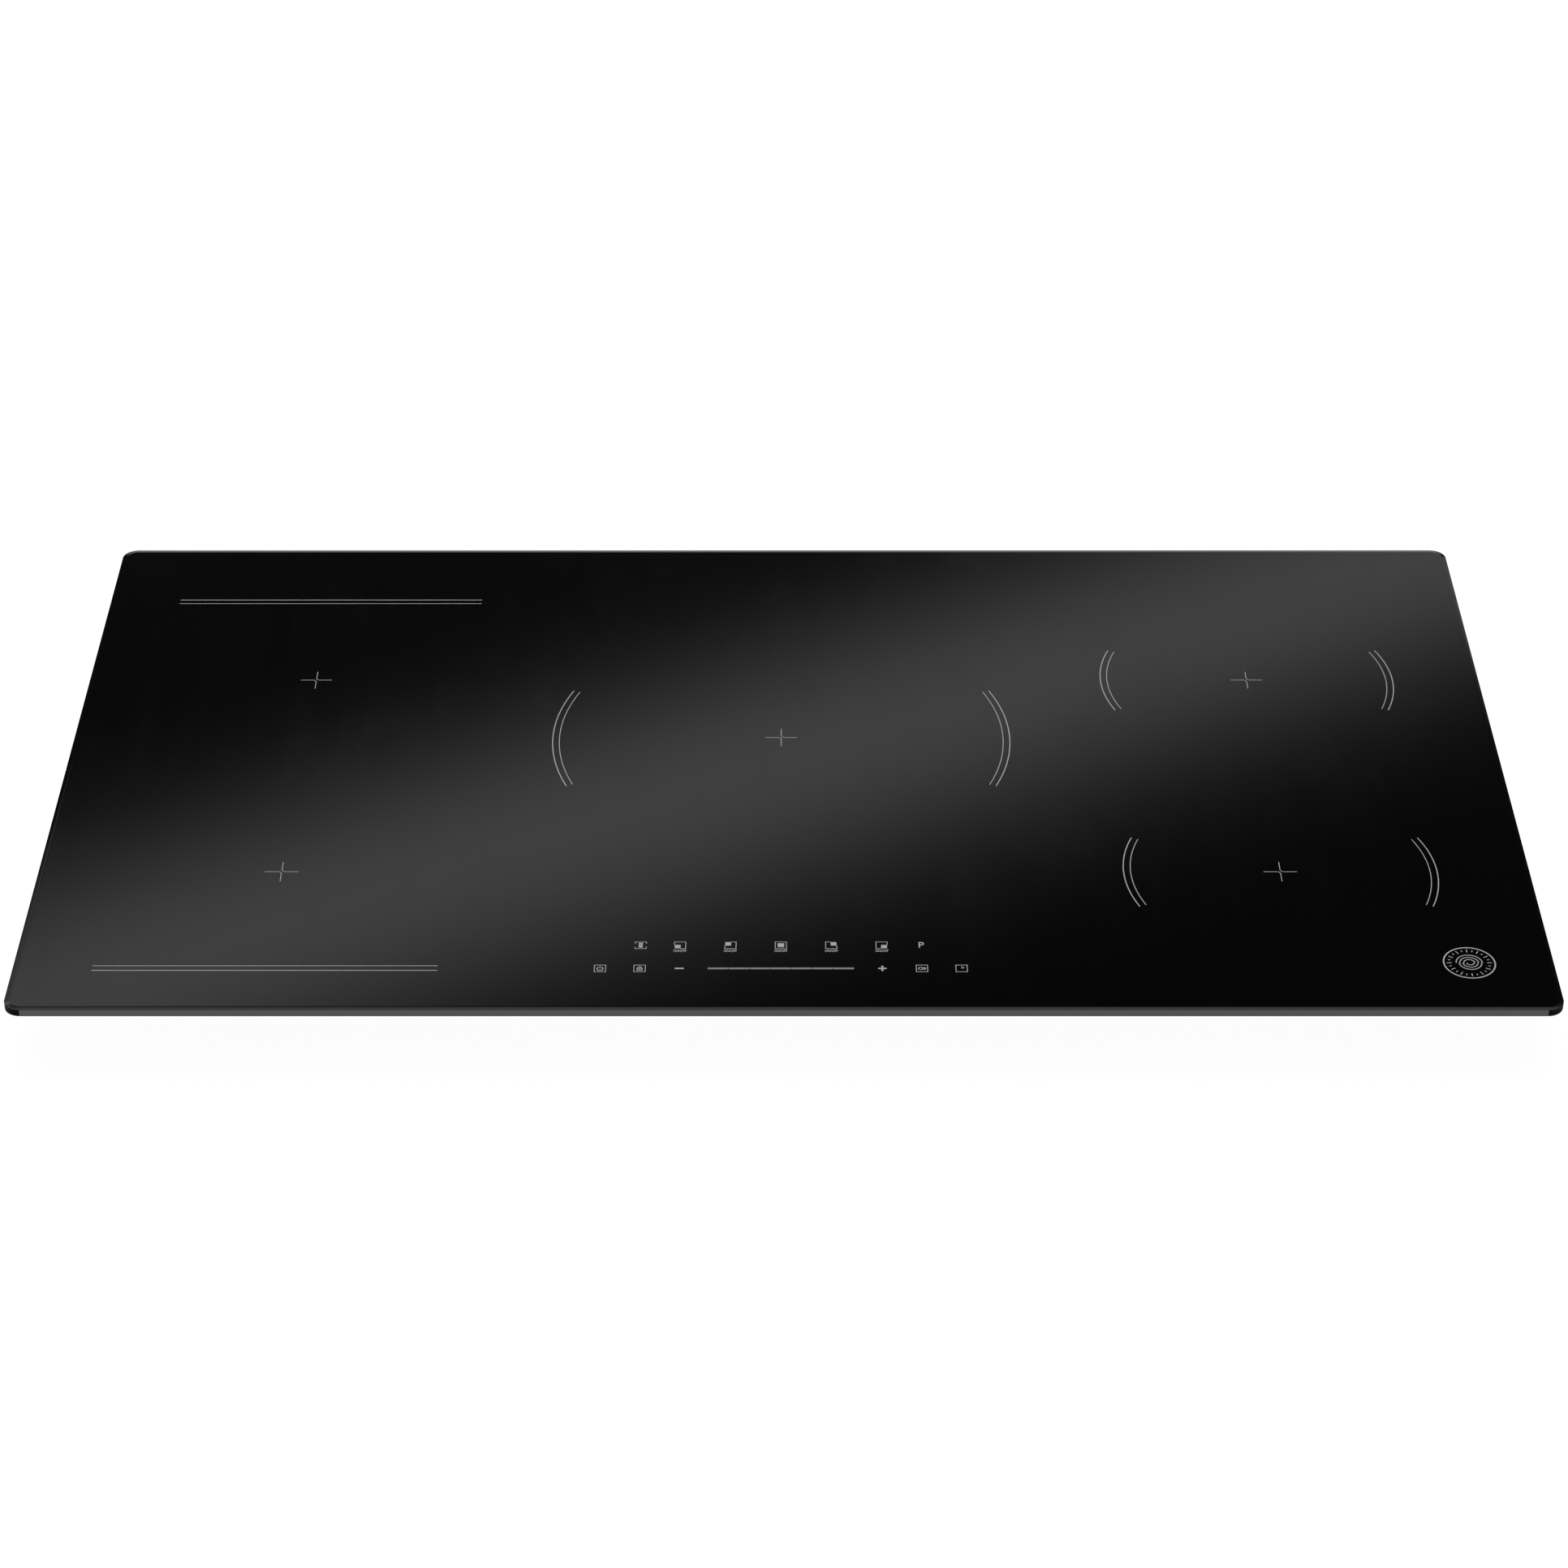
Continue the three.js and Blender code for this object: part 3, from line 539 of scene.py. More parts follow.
@dataclass(frozen=True)
class Finish:
    """A surface with grain, worn edges, uneven gloss and relief.

    Attributes:
        name: name of the material.
        slot: the record's material slot; it is not used.
        colour: main colour.
        second: colour that it drifts to.
        grain: pattern repeats per metre.
        gloss: lowest and highest roughness.
        relief: height of the relief in millimetres.
        metallic: how metallic it is.
        wear: colour of worn edges.
        worn: strength of the wear.
        stretch: pattern stretch for each axis.
        shine: strength of the gloss on a non-metal.
    """

    name: str
    slot: str
    colour: Colour
    second: Colour
    grain: float = 400.0
    gloss: Flat = (0.4, 0.6)
    relief: float = 0.02
    metallic: float = 0.0
    wear: Colour = (0.6, 0.6, 0.6)
    worn: float = 0.4
    stretch: Point = (1.0, 1.0, 1.0)
    shine: float = 0.5

    def material(self) -> bpy.types.Material:
        """Build the material, or give back the one already built.

        Returns:
            The material.
        """
        found = bpy.data.materials.get(self.name)
        if found:
            return found
        made = bpy.data.materials.new(self.name)
        made.use_nodes = True
        made.node_tree.nodes.clear()
        w = Wiring(made.node_tree)
        shader = w.add("BsdfPrincipled")
        out = w.add("OutputMaterial")
        made.node_tree.links.new(shader.outputs[0], out.inputs[0])
        shader.inputs["Metallic"].default_value = self.metallic
        shader.inputs["Specular IOR Level"].default_value = self.shine
        self.shade(w, shader)
        made.diffuse_color = (*self.colour, 1.0)
        return made

    def shade(self, w: Wiring, shader: bpy.types.Node) -> None:
        """Wire the pattern into the shader.

        Args:
            w: the material's wiring.
            shader: its principled shader.
        """
        place = w.place(self.stretch)
        drift, height = self.pattern(w, place)
        body = w.blend(drift, self.colour, self.second)
        group = w.add("Group", node_tree=edge_wear_group())
        w.tree.links.new(place, group.inputs["Vector"])
        mask = w.math("MULTIPLY", group.outputs["Mask"], self.worn)
        handled = w.add("Group", node_tree=handling_group())
        w.tree.links.new(place, handled.inputs["Vector"])
        base = w.blend(mask, body, self.wear)
        w.tree.links.new(base, shader.inputs["Base Color"])
        smudge = w.math("MULTIPLY", handled.outputs["Smudge"], 0.4)
        level = w.math("ADD", w.math("MULTIPLY", drift, 0.6), smudge)
        rough = w.remap(level, 0.15, 0.75, *self.gloss)
        w.tree.links.new(rough, shader.inputs["Roughness"])
        bump = w.add("Bump", {"Strength": 1.0, "Distance": self.relief * MM, "Height": height})
        w.tree.links.new(bump.outputs[0], shader.inputs["Normal"])

    def pattern(self, w: Wiring, place: Socket) -> tuple[Socket, Socket]:
        """Give the colour drift and the relief.

        Args:
            w: the material's wiring.
            place: coordinates of the pattern.

        Returns:
            The drift and height sockets.
        """
        return w.noise(place, self.grain, 4.0), w.noise(place, self.grain * 3.0, 2.0)


class Spangled(Finish):
    """Hot-dip zinc on sheet steel, with leaf-like crystals."""

    def pattern(self, w: Wiring, place: Socket) -> tuple[Socket, Socket]:
        """Give crystal shades and their low relief.

        Args:
            w: the material's wiring.
            place: coordinates of the pattern.

        Returns:
            The drift and height sockets.
        """
        bent = w.add("TexNoise", {"Vector": place, "Scale": 60.0, "Detail": 2.0})
        reach = (0.008, 0.008, 0.008)
        offset = w.add("VectorMath", {0: bent.outputs["Color"], 1: reach}, operation="MULTIPLY")
        moved = w.add("VectorMath", {0: place, 1: offset.outputs[0]}, operation="ADD").outputs[0]
        cells = w.add("TexVoronoi", {"Vector": moved, "Scale": self.grain})
        tone = w.add("SeparateColor", {0: cells.outputs["Color"]}).outputs[0]
        fine = w.noise(place, self.grain * 7.0, 3.0)
        drift = w.math("ADD", w.math("MULTIPLY", tone, 0.65), w.math("MULTIPLY", fine, 0.35))
        return drift, w.math("ADD", tone, fine)


class Brushed(Finish):
    """Metal with fine parallel lines from rolling or drawing."""

    def pattern(self, w: Wiring, place: Socket) -> tuple[Socket, Socket]:
        """Give drawn lines over a broad drift.

        Args:
            w: the material's wiring.
            place: coordinates of the pattern.

        Returns:
            The drift and height sockets.
        """
        lines = w.noise(place, self.grain, 5.0)
        broad = w.noise(place, self.grain * 0.05, 2.0)
        drift = w.math("ADD", w.math("MULTIPLY", lines, 0.6), w.math("MULTIPLY", broad, 0.4))
        return drift, lines


class Cellular(Finish):
    """Foam or sintered stock with open cells."""

    def pattern(self, w: Wiring, place: Socket) -> tuple[Socket, Socket]:
        """Give rounded cells.

        Args:
            w: the material's wiring.
            place: coordinates of the pattern.

        Returns:
            The drift and height sockets.
        """
        cells = w.add("TexVoronoi", {"Vector": place, "Scale": self.grain})
        return w.noise(place, self.grain * 0.3, 3.0), cells.outputs["Distance"]


class Wound(Finish):
    """Stranded copper wire with an enamel that shines on each strand."""

    def pattern(self, w: Wiring, place: Socket) -> tuple[Socket, Socket]:
        """Give fine twisted strands.

        Args:
            w: the material's wiring.
            place: coordinates of the pattern.

        Returns:
            The drift and height sockets.
        """
        wave = w.add(
            "TexWave",
            {"Vector": place, "Scale": self.grain, "Distortion": 3.0, "Detail": 2.0},
            bands_direction="DIAGONAL",
        )
        noise = w.noise(place, self.grain * 2.0, 2.0)
        return w.math("MULTIPLY", wave.outputs["Fac"], noise), wave.outputs["Fac"]


class Traced(Finish):
    """A lacquered circuit board with raised copper tracks below the lacquer."""

    def pattern(self, w: Wiring, place: Socket) -> tuple[Socket, Socket]:
        """Give tracks and pads.

        Args:
            w: the material's wiring.
            place: coordinates of the pattern.

        Returns:
            The drift and height sockets.
        """
        cells = w.add(
            "TexVoronoi", {"Vector": place, "Scale": self.grain}, distance="CHEBYCHEV", feature="F1"
        )
        tracks = w.remap(cells.outputs["Distance"], 0.36, 0.40, 0.0, 1.0)
        fine = w.noise(place, self.grain * 8.0, 2.0)
        drift = w.math("ADD", w.math("MULTIPLY", tracks, 0.8), w.math("MULTIPLY", fine, 0.2))
        return drift, tracks


@dataclass(frozen=True)
class GlassFinish(Finish):
    """Polished black glass ceramic whose rim is ground.

    Attributes:
        ground: colour of the ground rim.
        ground_gloss: roughness of the ground rim.
        lip_shade_start: height in metres under which the rim is fully darker, as painted shade on its lower
            band.
        lip_shade_end: height in metres over which that painted shade stops.
    """

    ground: Colour = (0.064, 0.066, 0.070)
    ground_gloss: float = 0.42
    lip_shade_start: float = 0.0480
    lip_shade_end: float = 0.0488

    def shade(self, w: Wiring, shader: bpy.types.Node) -> None:
        """Wire polish, faint wipe marks, the ground rim, and painted shade on the rim's lower band and at its
        corners.

        Args:
            w: the material's wiring.
            shader: its principled shader.
        """
        shader.inputs["IOR"].default_value = 1.52
        place = w.place()
        normal = w.add("SeparateXYZ", {0: w.add("NewGeometry").outputs["Normal"]})
        side = w.remap(w.math("ABSOLUTE", normal.outputs[2]), 0.90, 0.6, 0.0, 1.0)
        facing = [w.math("ABSOLUTE", normal.outputs[axis]) for axis in (0, 1)]
        across = w.math("MAXIMUM", *facing)
        # Rim faces that turn round a corner keep the polished black instead of the ground rim colour: painted
        # shade at the corners.
        straight = w.remap(across, 0.985, 0.998, 0.0, 1.0)
        rim = w.math("MULTIPLY", side, straight)
        handled = w.add("Group", node_tree=handling_group())
        w.tree.links.new(place, handled.inputs["Vector"])
        flecks = w.noise(place, 900.0, 3.0)
        drift = w.remap(flecks, 0.35, 0.7, 0.0, 1.0)
        top = w.blend(drift, self.colour, self.second)
        grit = w.noise(place, 2600.0, 2.0)
        ground = w.blend(grit, self.ground, tuple(c * 1.5 for c in self.ground))
        # The rim is painted darker towards its lower edge: painted shade on its lower band.
        lip = w.remap(w.add("SeparateXYZ", {0: place}).outputs[2], self.lip_shade_end, self.lip_shade_start, 0.0, 1.0)
        ground = w.blend(lip, ground, tuple(c * 0.7 for c in self.ground))
        w.tree.links.new(w.blend(rim, top, ground), shader.inputs["Base Color"])
        polish = w.remap(handled.outputs["Smudge"], 0.0, 1.0, *self.gloss)
        rough = w.add("Mix", {0: rim, 2: polish, 3: self.ground_gloss}, data_type="FLOAT")
        w.tree.links.new(rough.outputs[0], shader.inputs["Roughness"])
        waviness = w.noise(place, 22.0, 1.0)
        tooth = w.math("MULTIPLY", w.math("MULTIPLY", grit, rim), 4.0)
        height = w.math("ADD", w.math("MULTIPLY", waviness, 0.6), tooth)
        bump = w.add("Bump", {"Strength": 1.0, "Distance": self.relief * MM, "Height": height})
        w.tree.links.new(bump.outputs[0], shader.inputs["Normal"])


GLASS = GlassFinish(
    "polished_black_glass", "glass_black", (0.0004, 0.00043, 0.0005), (0.0008, 0.00085, 0.00095),
    gloss=(0.025, 0.06), relief=0.004, worn=0.0,
)
# Near-black, barely shiny material for the rounded corners of the glass rim: painted shade where their
# reflection leaves the light.
PAINTED_SHADE_CORNER = Finish(
    "painted_shade_glass_corner", "glass_black", (0.0004, 0.0004, 0.0005), (0.0012, 0.0012, 0.0013),
    grain=1400.0, gloss=(0.5, 0.7), relief=0.004, worn=0.0, shine=0.05,
)
PRINT = Finish(
    "fired_white_print", "print_grey", (0.36, 0.36, 0.36), (0.44, 0.44, 0.44),
    grain=900.0, gloss=(0.35, 0.55), relief=0.004, worn=0.0,
)
PRINT_DIM = Finish(
    "fired_grey_print", "print_grey", (0.17, 0.17, 0.17), (0.22, 0.22, 0.22),
    grain=900.0, gloss=(0.35, 0.55), relief=0.004, worn=0.0,
)
GALVANISED = Spangled(
    "galvanised_sheet", "steel_galvanised", (0.34, 0.36, 0.38), (0.58, 0.60, 0.61),
    grain=120.0, gloss=(0.24, 0.46), relief=0.012, metallic=0.9, wear=(0.75, 0.76, 0.77), worn=0.5,
)
FOAM = Cellular(
    "cell_rubber_seal", "foam_black", (0.012, 0.012, 0.013), (0.03, 0.03, 0.031),
    grain=1500.0, gloss=(0.75, 0.95), relief=0.12, worn=0.1,
)
ALUMINIUM = Brushed(
    "rolled_aluminium", "aluminium_sheet", (0.62, 0.63, 0.64), (0.76, 0.77, 0.78),
    grain=600.0, gloss=(0.22, 0.42), relief=0.006, metallic=1.0, wear=(0.9, 0.9, 0.9),
    stretch=(0.06, 1.0, 1.0),
)
EXTRUDED = Brushed(
    "extruded_aluminium", "aluminium_extruded", (0.50, 0.51, 0.52), (0.70, 0.71, 0.72),
    grain=900.0, gloss=(0.3, 0.5), relief=0.01, metallic=1.0, wear=(0.88, 0.88, 0.88),
    stretch=(1.0, 0.05, 1.0),
)
ZINC = Brushed(
    "zinc_plated_steel", "steel_zinc", (0.48, 0.50, 0.53), (0.66, 0.66, 0.62),
    grain=700.0, gloss=(0.2, 0.38), relief=0.006, metallic=1.0, wear=(0.85, 0.85, 0.84), worn=0.5,
)
COPPER = Wound(
    "enamelled_copper_litz", "copper_winding", (0.42, 0.16, 0.06), (0.86, 0.42, 0.20),
    grain=520.0, gloss=(0.22, 0.45), relief=0.15, metallic=0.85, wear=(0.9, 0.5, 0.26),
)
FIBRE = Brushed(
    "ceramic_fibre_pad", "fibre_white", (0.62, 0.60, 0.55), (0.82, 0.81, 0.77),
    grain=1200.0, gloss=(0.85, 1.0), relief=0.25, worn=0.1, stretch=(1.0, 0.35, 1.0),
)
PLASTIC_BLACK = Finish(
    "moulded_black", "plastic_black", (0.016, 0.016, 0.018), (0.03, 0.03, 0.032),
    grain=1800.0, gloss=(0.38, 0.58), relief=0.03, wear=(0.09, 0.09, 0.09), worn=0.6,
)
PLASTIC_GREY = Finish(
    "moulded_grey", "plastic_grey", (0.19, 0.20, 0.21), (0.25, 0.26, 0.27),
    grain=1600.0, gloss=(0.42, 0.6), relief=0.025, wear=(0.4, 0.4, 0.4), worn=0.5,
)
PLASTIC_WHITE = Finish(
    "moulded_white", "plastic_white", (0.66, 0.65, 0.61), (0.76, 0.75, 0.72),
    grain=1500.0, gloss=(0.35, 0.55), relief=0.02, wear=(0.85, 0.85, 0.83), worn=0.4,
)
BOARD = Traced(
    "lacquered_board", "circuit_board", (0.01, 0.075, 0.03), (0.03, 0.16, 0.06),
    grain=170.0, gloss=(0.25, 0.42), relief=0.03, wear=(0.4, 0.36, 0.2), worn=0.5,
)
FERRITE = Cellular(
    "sintered_ferrite", "ferrite_grey", (0.05, 0.05, 0.053), (0.085, 0.085, 0.09),
    grain=2400.0, gloss=(0.55, 0.75), relief=0.04, wear=(0.16, 0.16, 0.16), worn=0.6,
)
CABLE = Brushed(
    "cable_jacket", "cable_grey", (0.13, 0.13, 0.135), (0.19, 0.19, 0.195),
    grain=700.0, gloss=(0.4, 0.58), relief=0.02, wear=(0.3, 0.3, 0.3), worn=0.3,
)


# ---------------------------------------------------------------- studio


@dataclass
class Studio:
    """Floor, light and camera.

    Attributes:
        eye: place of the camera in millimetres.
        pitch: how far the camera looks down, in degrees.
        yaw: turn of the camera to the right, in degrees.
        roll: roll of the camera, in degrees.
        lens: focal length on a 36 mm sensor.
        floor_half: half the side of the floor in millimetres.
        ridge_slope: slope across the glass of the soft window's reflection.
        ridge_start: where that reflection crosses the middle, as depth over height.
        ridge_width: half width of the reflection at half its brightness.
        ridge_light: brightness of the soft window.
        edge_light: brightness of the faint window for the left rim.
        strip_light: brightness of the low strip behind the object.
        stops: pairs of upward direction and brightness, from the horizon to straight above.
    """

    eye: Point = (1.6146, -2115.27, 1443.05)
    pitch: float = 33.667416
    yaw: float = -0.0441
    roll: float = -0.0261
    lens: float = 92.866
    floor_half: float = 9000.0
    ridge_slope: float = 0.593
    ridge_start: float = 1.5207
    ridge_width: float = 0.137
    ridge_light: float = 0.68
    edge_light: float = 0.42
    strip_light: float = 1.15
    stops: tuple[Flat, ...] = (
        (0.0, 1.0), (0.035, 0.75), (0.07, 0.38), (0.12, 0.16), (0.18, 0.07),
        (0.24, 0.032), (0.50, 0.032), (0.56, 0.02), (0.60, 0.02), (0.635, 0.02),
        (0.67, 0.10), (0.71, 0.55), (0.76, 0.74), (0.90, 0.80), (1.0, 1.20),
    )

    def build(self) -> None:
        """Make the camera, the floor, the surroundings and the lamp."""
        self.make_camera()
        self.make_floor()
        self.make_world()
        self.make_lamp()
        bpy.context.scene.view_settings.view_transform = "Standard"

    def make_camera(self) -> None:
        """Set the camera at its place, looking at the cooktop."""
        data = bpy.data.cameras.new("camera")
        camera = bpy.data.objects.new("camera", data)
        bpy.context.scene.collection.objects.link(camera)
        pitch, yaw, roll = (math.radians(x) for x in (self.pitch, self.yaw, self.roll))
        ahead = Vector((math.sin(yaw) * math.cos(pitch), math.cos(yaw) * math.cos(pitch), -math.sin(pitch)))
        right = Vector((math.cos(yaw), -math.sin(yaw), 0.0))
        top = right.cross(ahead)
        across = math.cos(roll) * right + math.sin(roll) * top
        above = -math.sin(roll) * right + math.cos(roll) * top
        turn = Matrix((across, above, -ahead)).transposed().to_4x4()
        camera.matrix_world = Matrix.Translation(Vector(self.eye) * MM) @ turn
        data.lens = self.lens
        data.sensor_width = 36.0
        data.clip_start = 0.05
        data.clip_end = 60.0
        bpy.context.scene.camera = camera

    def make_floor(self) -> None:
        """Lay a pale floor that is bright enough to lose its edges."""
        bpy.ops.object.select_all(action="DESELECT")
        bpy.ops.mesh.primitive_plane_add(size=2 * self.floor_half * MM, location=(0, 0, 0))
        floor = bpy.context.object
        floor.name = "floor"
        made = bpy.data.materials.new("pale_floor")
        made.use_nodes = True
        made.node_tree.nodes.clear()
        w = Wiring(made.node_tree)
        paper = w.noise(w.place(), 3.0, 2.0)
        seen = w.add("LightPath").outputs["Is Camera Ray"]
        tone = w.blend(seen, w.blend(paper, (0.68, 0.68, 0.68), (0.72, 0.72, 0.72)), (0.07, 0.07, 0.07))
        glow = w.remap(seen, 0.0, 1.0, 0.30, 0.96)
        white = (1.0, 1.0, 1.0, 1.0)
        shader = w.add(
            "BsdfPrincipled",
            {"Base Color": tone, "Roughness": 0.9, "Emission Color": white, "Emission Strength": glow},
        )
        out = w.add("OutputMaterial")
        made.node_tree.links.new(shader.outputs[0], out.inputs[0])
        floor.data.materials.append(made)

    def make_world(self) -> None:
        """Surround the object with a white horizon, a dark band and soft windows."""
        world = bpy.data.worlds.new("studio")
        bpy.context.scene.world = world
        world.use_nodes = True
        world.node_tree.nodes.clear()
        w = Wiring(world.node_tree)
        aim = w.add("TexCoord").outputs["Generated"]
        x, y, z = w.add("SeparateXYZ", {0: aim}).outputs[:3]
        light = w.math("ADD", self.front_windows(w, x, y, z), self.rear_strip(w, x, y, z))
        total = w.math("ADD", w.math("ADD", self.sky(w, z), light), self.side_windows(w, x, y, z))
        grey = w.add("CombineColor", {0: total, 1: total, 2: total}).outputs[0]
        seen = w.add("LightPath").outputs["Is Camera Ray"]
        around = w.blend(seen, grey, (1.0, 1.0, 1.0))
        background = w.add("Background", {"Color": around, "Strength": 1.0})
        out = w.add("OutputWorld")
        world.node_tree.links.new(background.outputs[0], out.inputs[0])

    def sky(self, w: Wiring, z: Socket) -> Socket:
        """Grade the surroundings from the horizon to straight above.

        Args:
            w: the surroundings' wiring.
            z: part of the direction upwards.

        Returns:
            The graded light.
        """
        ramp = w.add("ValToRGB", {0: z})
        ramp.color_ramp.interpolation = "B_SPLINE"
        while len(ramp.color_ramp.elements) < len(self.stops):
            ramp.color_ramp.elements.new(0.5)
        for element, (position, light) in zip(ramp.color_ramp.elements, self.stops):
            element.position = position
            element.color = (light, light, light, 1.0)
        return ramp.outputs[0]

    def front_windows(self, w: Wiring, x: Socket, y: Socket, z: Socket) -> Socket:
        """Add the soft sloping window, and a faint one to its left for the left rim.

        Args:
            w: the surroundings' wiring.
            x: part of the direction to the right.
            y: part of the direction to the rear.
            z: part of the direction upwards.

        Returns:
            The windows' light.
        """
        height = w.math("MAXIMUM", z, 0.02)
        side = w.math("DIVIDE", x, height)
        depth = w.math("DIVIDE", y, height)
        shift = w.math("DIVIDE", w.math("SUBTRACT", depth, self.ridge_start), self.ridge_slope)
        away = w.math("DIVIDE", w.math("SUBTRACT", side, shift), self.ridge_width)
        fall = w.math("POWER", 2.0, w.math("MULTIPLY", w.math("MULTIPLY", away, away), -1.0))
        front = w.remap(y, 0.2, 0.45, 0.0, 1.0)
        lower = w.remap(z, 0.3, 0.42, 0.0, 1.0)
        upper = w.remap(z, 0.74, 0.64, 0.0, 1.0)
        window = w.math("MULTIPLY", w.math("MULTIPLY", fall, front), w.math("MULTIPLY", lower, upper))
        even = w.remap(z, 0.5086, 0.597, 0.8, 1.03)
        light = w.math("MULTIPLY", w.math("MULTIPLY", window, even), self.ridge_light)
        near = w.remap(side, -0.36, -0.42, 0.0, self.edge_light)
        edge = w.math("MULTIPLY", near, w.remap(depth, 1.60, 1.47, 0.0, 1.0))
        far = w.remap(side, -1.0, -0.75, 0.0, 1.0)
        edge = w.math("MULTIPLY", edge, w.math("MULTIPLY", far, lower))
        edge = w.math("MULTIPLY", edge, w.math("MULTIPLY", front, upper))
        return w.math("ADD", light, edge)

    def rear_strip(self, w: Wiring, x: Socket, y: Socket, z: Socket) -> Socket:
        """Add the low strip behind the object that only the rear rim mirrors.

        Args:
            w: the surroundings' wiring.
            x: part of the direction to the right.
            y: part of the direction to the rear.
            z: part of the direction upwards.

        Returns:
            The strip's light.
        """
        wide = w.math("DIVIDE", w.math("ABSOLUTE", x), w.math("MAXIMUM", y, 0.02))
        bottom = w.remap(z, 0.19, 0.24, 0.0, self.strip_light)
        strip = w.math("MULTIPLY", bottom, w.remap(z, 0.475, 0.44, 0.0, 1.0))
        return w.math("MULTIPLY", strip, w.remap(wide, 0.27, 0.20, 0.0, 1.0))

    def side_windows(self, w: Wiring, x: Socket, y: Socket, z: Socket) -> Socket:
        """Add fainter leaning windows at the four diagonals of the studio.

        Args:
            w: the surroundings' wiring.
            x: part of the direction to the right.
            y: part of the direction to the rear.
            z: part of the direction upwards.

        Returns:
            The windows' light.
        """
        across = w.math("SUBTRACT", w.math("ABSOLUTE", x), w.math("ABSOLUTE", y))
        lean = w.math("MULTIPLY", w.math("SUBTRACT", z, 0.36), 0.9)
        away = w.math("DIVIDE", w.math("ADD", across, lean), 0.14)
        fall = w.math("POWER", 2.0, w.math("MULTIPLY", w.math("MULTIPLY", away, away), -1.0))
        near = w.remap(z, 0.14, 0.45, 0.10, 0.42)
        upper = w.remap(z, 0.74, 0.62, 0.0, 1.0)
        return w.math("MULTIPLY", w.math("MULTIPLY", fall, near), upper)

    def make_lamp(self) -> None:
        """Hang one large soft lamp above the object."""
        data = bpy.data.lights.new("soft_lamp", "AREA")
        data.shape = "SQUARE"
        data.size = 1.6
        data.energy = 26.0
        lamp = bpy.data.objects.new("soft_lamp", data)
        lamp.location = (0.0, -0.15, 2.6)
        bpy.context.scene.collection.objects.link(lamp)


# ---------------------------------------------------------------- glass


@dataclass
class GlassPlate:
    """The glass ceramic plate.

    Attributes:
        width: size across in millimetres.
        depth: size front to back.
        top: height of the polished face.
        under: height of the lower end of the rim.
        lip: width of the rim that reaches lower than the rest, outside the seal.
        lip_height: how far it reaches below the rest.
        corner: radius of the corners.
        slope: strips of the sloped edge, as width and rise.
        front_drop: how much lower each strip's outer edge lies along the front.
        lower_chamfer: chamfer under the edge.
    """

    width: float = 896.0
    depth: float = 520.0
    top: float = 51.95
    under: float = 47.3
    lip: float = 2.5
    lip_height: float = 0.7
    corner: float = 10.0
    slope: tuple[Flat, ...] = ((1.0, 0.12), (1.0, 0.10), (0.6, 0.04), (0.5, 0.02))
    front_drop: tuple[float, ...] = (0.04, 0.03, 0.02, 0.0)
    lower_chamfer: float = 0.08

    def build(self) -> Piece:
        """Model the plate and dress it.

        Returns:
            The plate.
        """
        rise = sum(step[1] for step in self.slope)
        half_x, half_y = self.width / 2, self.depth / 2
        plate = block("glass_plate", (-half_x, -half_y, self.under), (half_x, half_y, self.top - rise))
        round_edges(plate, self.corner, 16, upright)
        pick_faces(plate, lambda _, n: n.z > 0.99)
        for strip, step in self.slope:
            bpy.ops.mesh.inset(thickness=strip * MM)
            bpy.ops.transform.translate(value=(0, 0, step * MM))
        bpy.ops.mesh.inset(thickness=0.5 * MM)
        leave_edit()
        self.lower_front(plate)
        pick_faces(plate, lambda _, n: n.z < -0.99)
        bpy.ops.mesh.inset(thickness=self.lip * MM)
        bpy.ops.mesh.inset(thickness=0.1 * MM)
        bpy.ops.transform.translate(value=(0, 0, self.lip_height * MM))
        leave_edit()
        outer_x, outer_y = half_x - 0.01, half_y - 0.01
        pick_edges(
            plate,
            lambda p, _: p.z < self.under + 0.01
            and (abs(p.x) > outer_x or abs(p.y) > outer_y or self.at_corner(p)),
        )
        bpy.ops.mesh.bevel(offset=self.lower_chamfer * MM, segments=1, affect="EDGES")
        leave_edit()
        handed_over(plate, GLASS, replaces=["glass_top"], angle=25.0)
        # The rim's rounded corner faces get the near-black corner material: painted shade in place of their
        # reflection.
        plate.data.materials.append(PAINTED_SHADE_CORNER.material())
        for face in plate.data.polygons:
            turn = max(abs(face.normal.x), abs(face.normal.y))
            if abs(face.normal.z) < 0.5 and turn < 0.999:
                face.material_index = 1
        return plate

    def at_corner(self, place: Vector) -> bool:
        """Tell whether a place lies on one of the rounded corners' outlines.

        Args:
            place: the place in millimetres.

        Returns:
            True on an outline.
        """
        along = abs(place.x) - (self.width / 2 - self.corner)
        back = abs(place.y) - (self.depth / 2 - self.corner)
        return along > 0 and back > 0 and math.hypot(along, back) > self.corner - 0.1

    def lower_front(self, plate: Piece) -> None:
        """Slope the front edge more than the others.

        Args:
            plate: the plate with its even slope.
        """
        reach = 0.0
        above = self.under + 1
        for (strip, _), drop in zip(self.slope, self.front_drop):
            place = reach - self.depth / 2
            pick_edges(
                plate,
                lambda p, d, place=place: abs(p.y - place) < 0.02 and abs(d.x) > 0.99 and p.z > above,
            )
            bpy.ops.transform.translate(value=(0, 0, -drop * MM))
            leave_edit()
            reach += strip


# ---------------------------------------------------------------- printed marks


